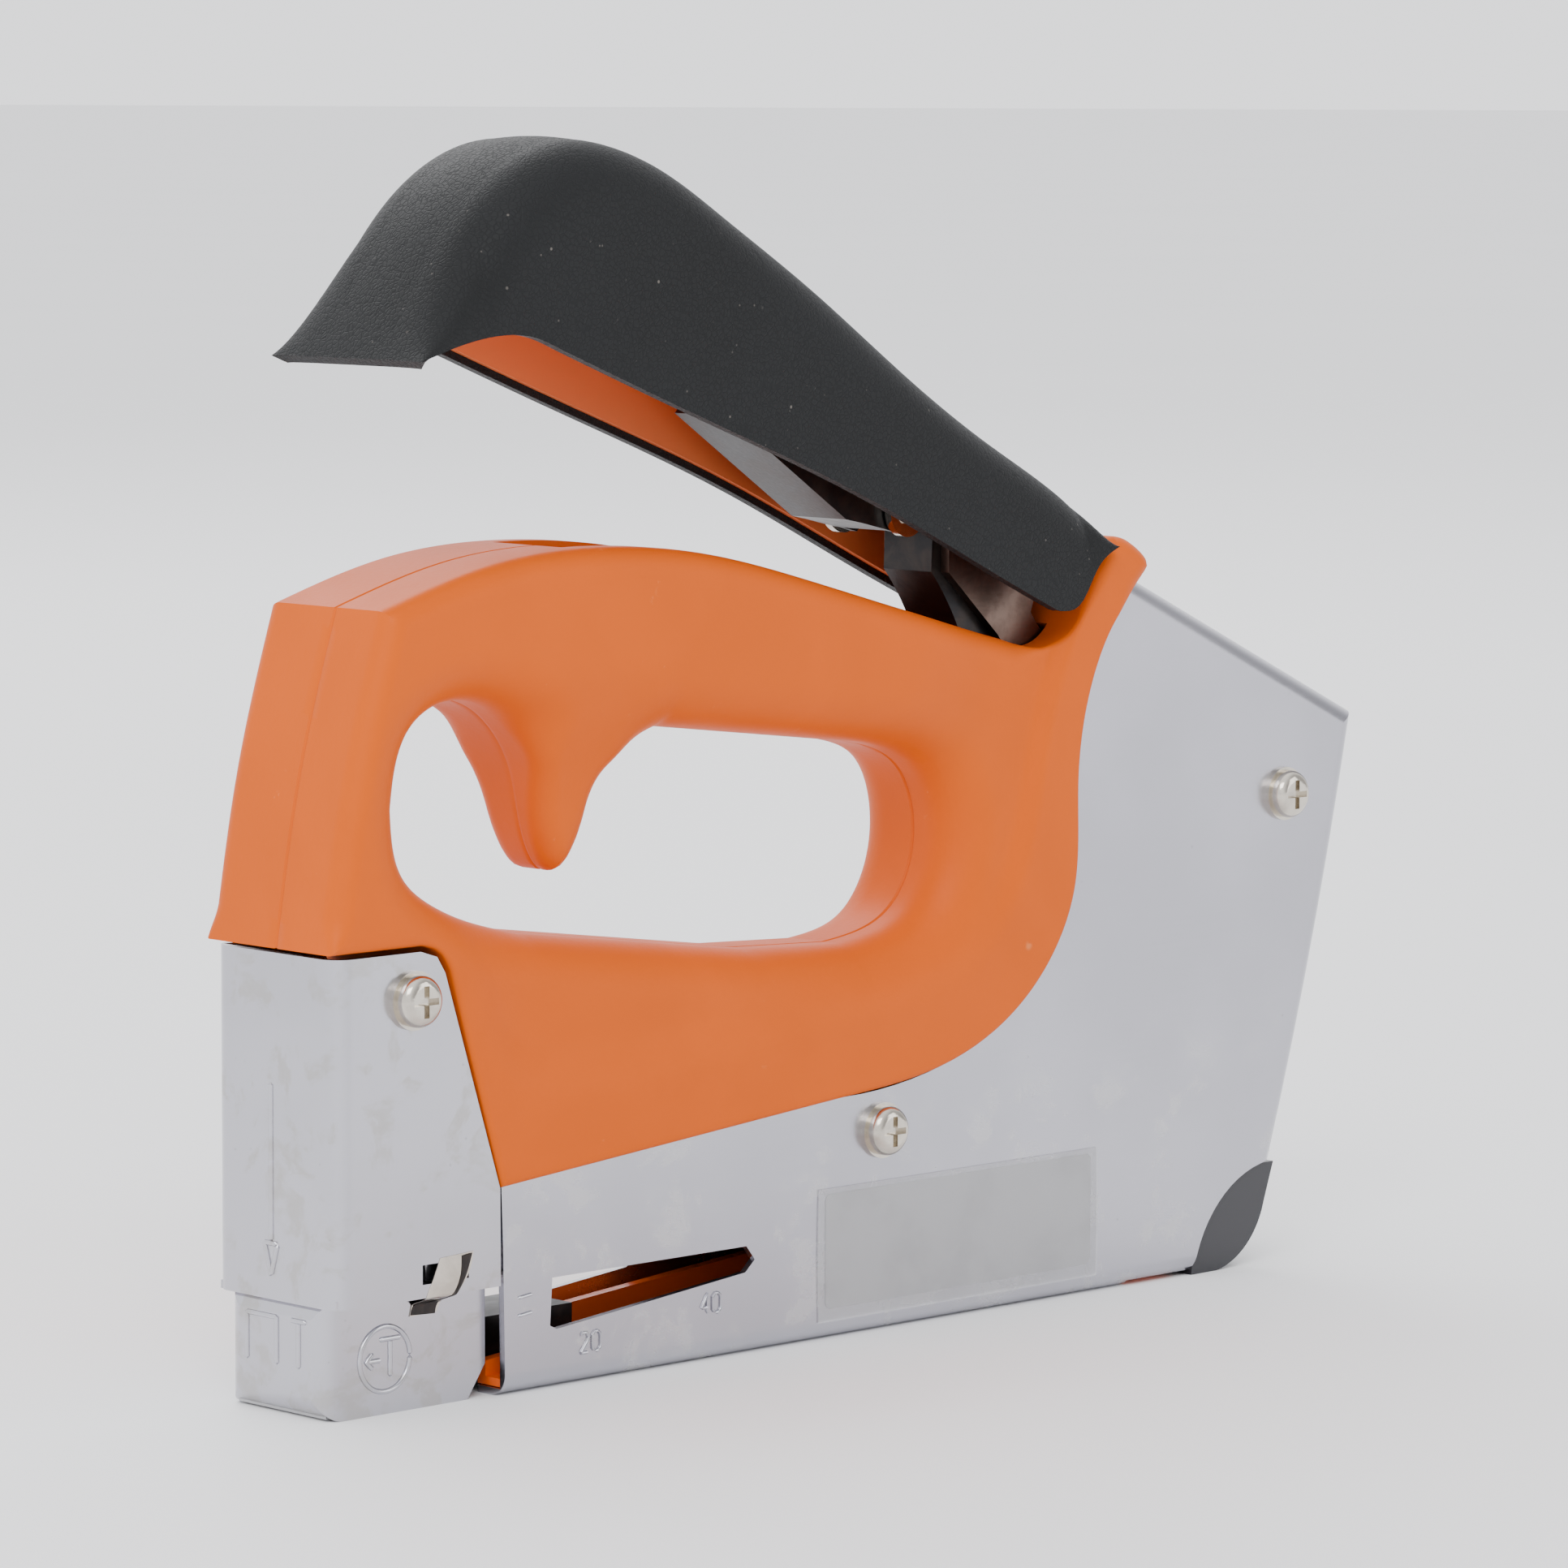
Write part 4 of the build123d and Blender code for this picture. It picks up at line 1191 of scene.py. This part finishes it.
@dataclass
class NoseMarks(Marks):
    """Arrow, staple and nail pictograms on the nose."""

    def build(self) -> None:
        """Arrow down the front, staple and nail at its foot, ringed nail on the side."""
        sheet = Sheet()
        for path in ([(0.6, 43.5), (0.6, 22.6)], [(-0.7, 22.4), (1.9, 22.4), (0.6, 18.2), (-0.7, 22.4)],
                     [(5.6, 6.5), (5.6, 12.8), (-0.4, 12.8), (-0.4, 6.5)], [(-3.2, 12.8), (-6.4, 12.8)],
                     [(-4.8, 12.8), (-4.8, 6.5)]):
            self.ridge(sheet, np.array(path, float), FRONT)
        ring = self.circle(10.2, 7.3, 4.3)
        for path in (ring, np.array([(9.2, 9.9), (13.0, 9.9)]), np.array([(11.1, 9.9), (11.1, 4.8)]),
                     np.array([(9.6, 7.2), (7.0, 7.2)]), np.array([(8.2, 8.3), (7.0, 7.2), (8.2, 6.1)])):
            self.ridge(sheet, np.array(path, float), LOW_SIDE)
        mount(sheet.piece("nose_embossing", outward=False), "frame", Finish.NOSE, "nose_steel")


@dataclass
class HousingMarks(Marks):
    """Level marks ahead of the staple window and the figures under it."""

    width: float = 0.5

    def build(self) -> None:
        """Two short bars, then the figures 20 and 40 in plain strokes."""
        sheet = Sheet()
        strokes: list[Points] = [[(31.2, 10.6), (33.9, 10.9)], [(31.2, 13.0), (33.9, 13.3)]]
        two = [(0.0, 2.2), (0.4, 2.7), (1.1, 2.7), (1.4, 2.1), (1.2, 1.5), (0.0, 0.0), (1.5, 0.0)]
        nought = [(2.6, 0.0), (2.1, 0.5), (2.1, 2.2), (2.6, 2.7), (3.1, 2.7), (3.6, 2.2), (3.6, 0.5),
                  (3.1, 0.0), (2.6, 0.0)]
        four = [(1.1, 0.0), (1.1, 2.7), (0.0, 0.9), (1.6, 0.9)]
        for x, z, figures in ((42.4, 4.2, (two, nought)), (64.5, 6.6, (four, nought))):
            strokes += [[(x + a, z + b) for a, b in figure] for figure in figures]
        for path in strokes:
            self.ridge(sheet, np.array(path, float), BODY_SIDE)
        mount(sheet.piece("housing_embossing", outward=False), "frame", Finish.HOUSING, "body_steel")


@dataclass
class SidePatches:
    """Thin shapes laid on the steel's near side: the pressed lance, as a painted highlight on its ramp and a
    painted shadow at its hook, and the label's clear film.
    """

    thick: float = 0.12
    nose_rear: float = 28.3
    nose_proud: float = 0.1
    foot_step: float = 2.4

    def patch(self, name: str, slot: str, left: Points, right: Points, finish: Finish, over: float,
              bulge: float = 0.0) -> None:
        """A closed skin between two edge curves, lying on whatever steel is behind it.

        The steel's side is taken as its half width, which steps in smoothly below the nose's crease,
        and the skin swells by the sine of its share across.

        Args:
            name: the piece's name.
            slot: the record's material slot.
            left: front edge, from the top down, as x and z.
            right: rear edge, likewise.
            finish: its finish.
            over: its height above the steel.
            bulge: extra height half way across.
        """
        one, other = through(left, 40)[:, None, :], through(right, 40)[:, None, :]
        share = np.linspace(0.0, 1.0, 13)[None, :, None]
        flat = one * (1.0 - share) + other * share
        nose = 1.0 - smoothstep(self.nose_rear, self.nose_rear + 0.1, flat[..., 0])
        foot = 1.0 - smoothstep(13.7, 15.0, flat[..., 1])
        side = BODY_HALF + nose * (self.nose_proud - self.foot_step * foot)
        rise = over + bulge * np.sin(np.pi * share[..., 0])
        front = np.stack([flat[..., 0], -side - rise, flat[..., 1]], axis=-1)
        back = front + np.array([0.0, self.thick, 0.0])
        back[[0, -1]] = front[[0, -1]]
        table = np.concatenate([front, back[:, ::-1]], axis=1)
        mount(Sheet().grid(table, close_columns=True).piece(name), "frame", finish, slot)

    def build(self) -> None:
        """The lance's ramp as a bright painted highlight and its hook as a dark painted shadow, then the film
        round the label.
        """
        # Painted highlight: the lance's ramp is the nose's own steel, drawn as a bright nickel patch where it
        # catches the light.
        self.patch("nose_lance_painted_highlight", "nickel", [(17.6, 20.0), (16.4, 17.4), (15.2, 15.0), (14.4, 12.3)],
                   [(23.4, 20.3), (22.6, 17.6), (20.4, 14.8), (19.0, 12.5)], Finish.NICKEL, 0.07)
        # Painted shadow: a black patch where the lance's hook and its opening fall into shade.
        self.patch("nose_lance_painted_shadow", "black_steel",
                   [(21.3, 19.9), (21.2, 17.8), (20.3, 15.6), (17.6, 13.9), (15.0, 13.7), (14.5, 12.5)],
                   [(23.1, 20.1), (22.2, 17.6), (20.9, 15.5), (19.6, 14.1), (18.9, 13.2), (18.7, 12.3)],
                   Finish.BLACKED, 0.13, 0.1)
        self.patch("label_film_sheet", "label_film", [(86.6, 21.2), (86.4, 12.0), (86.6, 2.6)],
                   [(142.4, 21.2), (142.6, 12.0), (142.4, 2.6)], Finish.FILM, 0.2)


# ---- carried-over pieces ------------------------------------------------------------------------
class Carried:
    """Nodes whose shape is right as packed: each gets its finish."""

    FINISHES = {
        Finish.HOUSING: ("housing_left", "housing_right"),
        Finish.NOSE: ("nose_plate",),
        Finish.LABEL: ("label",),
        Finish.NICKEL: ("body_screws", "screw_washers", "body_nuts", "lever_pin", "rocker_pin",
                        "latch_lugs", "latch_pin", "guide_rod"),
        Finish.INNER: ("blade_guide", "magazine_roof", "mechanism_plate_right",
                       "mechanism_plate_left", "spring_seat", "striker_blade", "magazine_rail"),
        Finish.LINER: ("liner_rail_right", "liner_rail_left"),
        Finish.WIRE: ("power_spring", "lever_spring", "pusher_spring"),
        Finish.BRONZED: ("lever_bracket_right", "lever_bracket_left"),
        Finish.BLACKED: ("cam_arm", "lock_latch", "rocker", "pusher"),
        Finish.GLOSS: ("end_cap",),
    }

    def build(self) -> None:
        """Dresses every node that is still shown."""
        for finish, names in self.FINISHES.items():
            for name in names:
                finish.on(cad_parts[name])
                LOG.info("%s: carried over", name)


# ---- studio -------------------------------------------------------------------------------------
@dataclass
class Studio:
    """Pale floor, soft lights and the camera."""

    azimuth: float = -44.11
    elevation: float = 5.939
    roll: float = 0.206
    station: tuple[float, float, float] = (-552.54, -664.70, 172.27)
    focal: float = 8286.0
    picture: float = 1932.0
    sensor: float = 36.0
    floor_half: float = 40.0
    brightness: float = 1.75
    dimmed: float = 0.36
    dim_side: tuple[float, float, float] = (0.66, -0.72, 0.15)

    def camera(self) -> None:
        """A long lens, looking slightly down at the nose and the screw-head side."""
        lens = bpy.data.cameras.new("camera")
        lens.sensor_width = self.sensor
        lens.lens = self.focal / self.picture * self.sensor
        lens.clip_start, lens.clip_end = 0.05, 50.0
        eye = bpy.data.objects.new("camera", lens)
        a, e, roll = (math.radians(v) for v in (self.azimuth, self.elevation, self.roll))
        forward = Vector((-math.sin(a) * math.cos(e), math.cos(a) * math.cos(e), -math.sin(e)))
        right = Vector((math.cos(a), math.sin(a), 0.0))
        up = right.cross(forward)
        tilted = right * math.cos(roll) + up * math.sin(roll)
        crown = up * math.cos(roll) - right * math.sin(roll)
        turn = Matrix((tilted, crown, -forward)).transposed()
        eye.matrix_world = Matrix.Translation(Vector(place(np.array(self.station)))) @ turn.to_4x4()
        bpy.context.scene.collection.objects.link(eye)
        bpy.context.scene.camera = eye

    def floor(self) -> None:
        """A wide pale floor."""
        size = self.floor_half
        corners = [(-size, -size, BASE), (size, -size, BASE), (size, size, BASE), (-size, size, BASE)]
        mesh = bpy.data.meshes.new("floor")
        mesh.from_pydata(corners, [], [(0, 1, 2, 3)])
        ground = bpy.data.objects.new("floor", mesh)
        bpy.context.scene.collection.objects.link(ground)
        s = Shader("floor_paint")
        tone = s.blend(s.noise(400.0, 2.0), (0.90, 0.90, 0.91), (0.93, 0.93, 0.935))
        mesh.materials.append(s.dress(tone, 0.7, 0.0, Specular_IOR_Level=0.2))

    def light(self, name: str, spot: tuple[float, float, float], size: tuple[float, float], power: float,
              colour: Colour = (1.0, 1.0, 1.0)) -> None:
        """A soft box aimed at the tool's middle.

        Args:
            name: the light's name.
            spot: where it stands, in metres.
            size: its width and height, in metres.
            power: watts.
            colour: its colour.
        """
        lamp = bpy.data.lights.new(name, "AREA")
        lamp.shape, lamp.size, lamp.size_y = "RECTANGLE", *size
        lamp.energy, lamp.color = power, colour
        thing = bpy.data.objects.new(name, lamp)
        aim = Vector((0.0, 0.0, 0.08)) - Vector(spot)
        turn = aim.to_track_quat("-Z", "Y").to_matrix().to_4x4()
        thing.matrix_world = Matrix.Translation(Vector(spot)) @ turn
        bpy.context.scene.collection.objects.link(thing)

    def world(self) -> None:
        """An even pale surround, a little lavender."""
        world = bpy.data.worlds.new("surround")
        world.use_nodes = True
        tree = world.node_tree
        sky = tree.nodes.new("ShaderNodeTexCoord").outputs["Generated"]
        toward = tree.nodes.new("ShaderNodeVectorMath")
        toward.operation = "DOT_PRODUCT"
        toward.inputs[1].default_value = self.dim_side
        tree.links.new(sky, toward.inputs[0])
        ramp = tree.nodes.new("ShaderNodeMapRange")
        ramp.interpolation_type = "SMOOTHSTEP"
        for k, value in enumerate((0.35, 0.95, 1.0, self.dimmed), start=1):
            ramp.inputs[k].default_value = value
        tree.links.new(toward.outputs["Value"], ramp.inputs[0])
        strength = tree.nodes.new("ShaderNodeMath")
        strength.operation = "MULTIPLY"
        strength.inputs[1].default_value = self.brightness
        tree.links.new(ramp.outputs[0], strength.inputs[0])
        tree.links.new(strength.outputs[0], tree.nodes["Background"].inputs[1])
        tree.nodes["Background"].inputs[0].default_value = (0.97, 0.975, 1.0, 1.0)
        bpy.context.scene.world = world

    def build(self) -> None:
        """Sets up floor, surround, lights and camera."""
        self.world()
        self.floor()
        self.light("key", (-1.3, -1.1, 1.5), (1.2, 1.0), 22.0)
        self.light("side", (1.2, -1.6, 0.7), (0.9, 1.3), 10.0)
        self.light("back", (0.5, 1.4, 1.3), (1.2, 0.8), 12.0)
        self.camera()


def main() -> None:
    """Builds the sub-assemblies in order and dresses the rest."""
    logging.basicConfig(level=logging.INFO, format="%(message)s")
    for part in (Grip(), Lever(), NoseMarks(), HousingMarks(), SidePatches(), Carried(), Studio()):
        part.build()


if __name__ == "__main__":
    main()
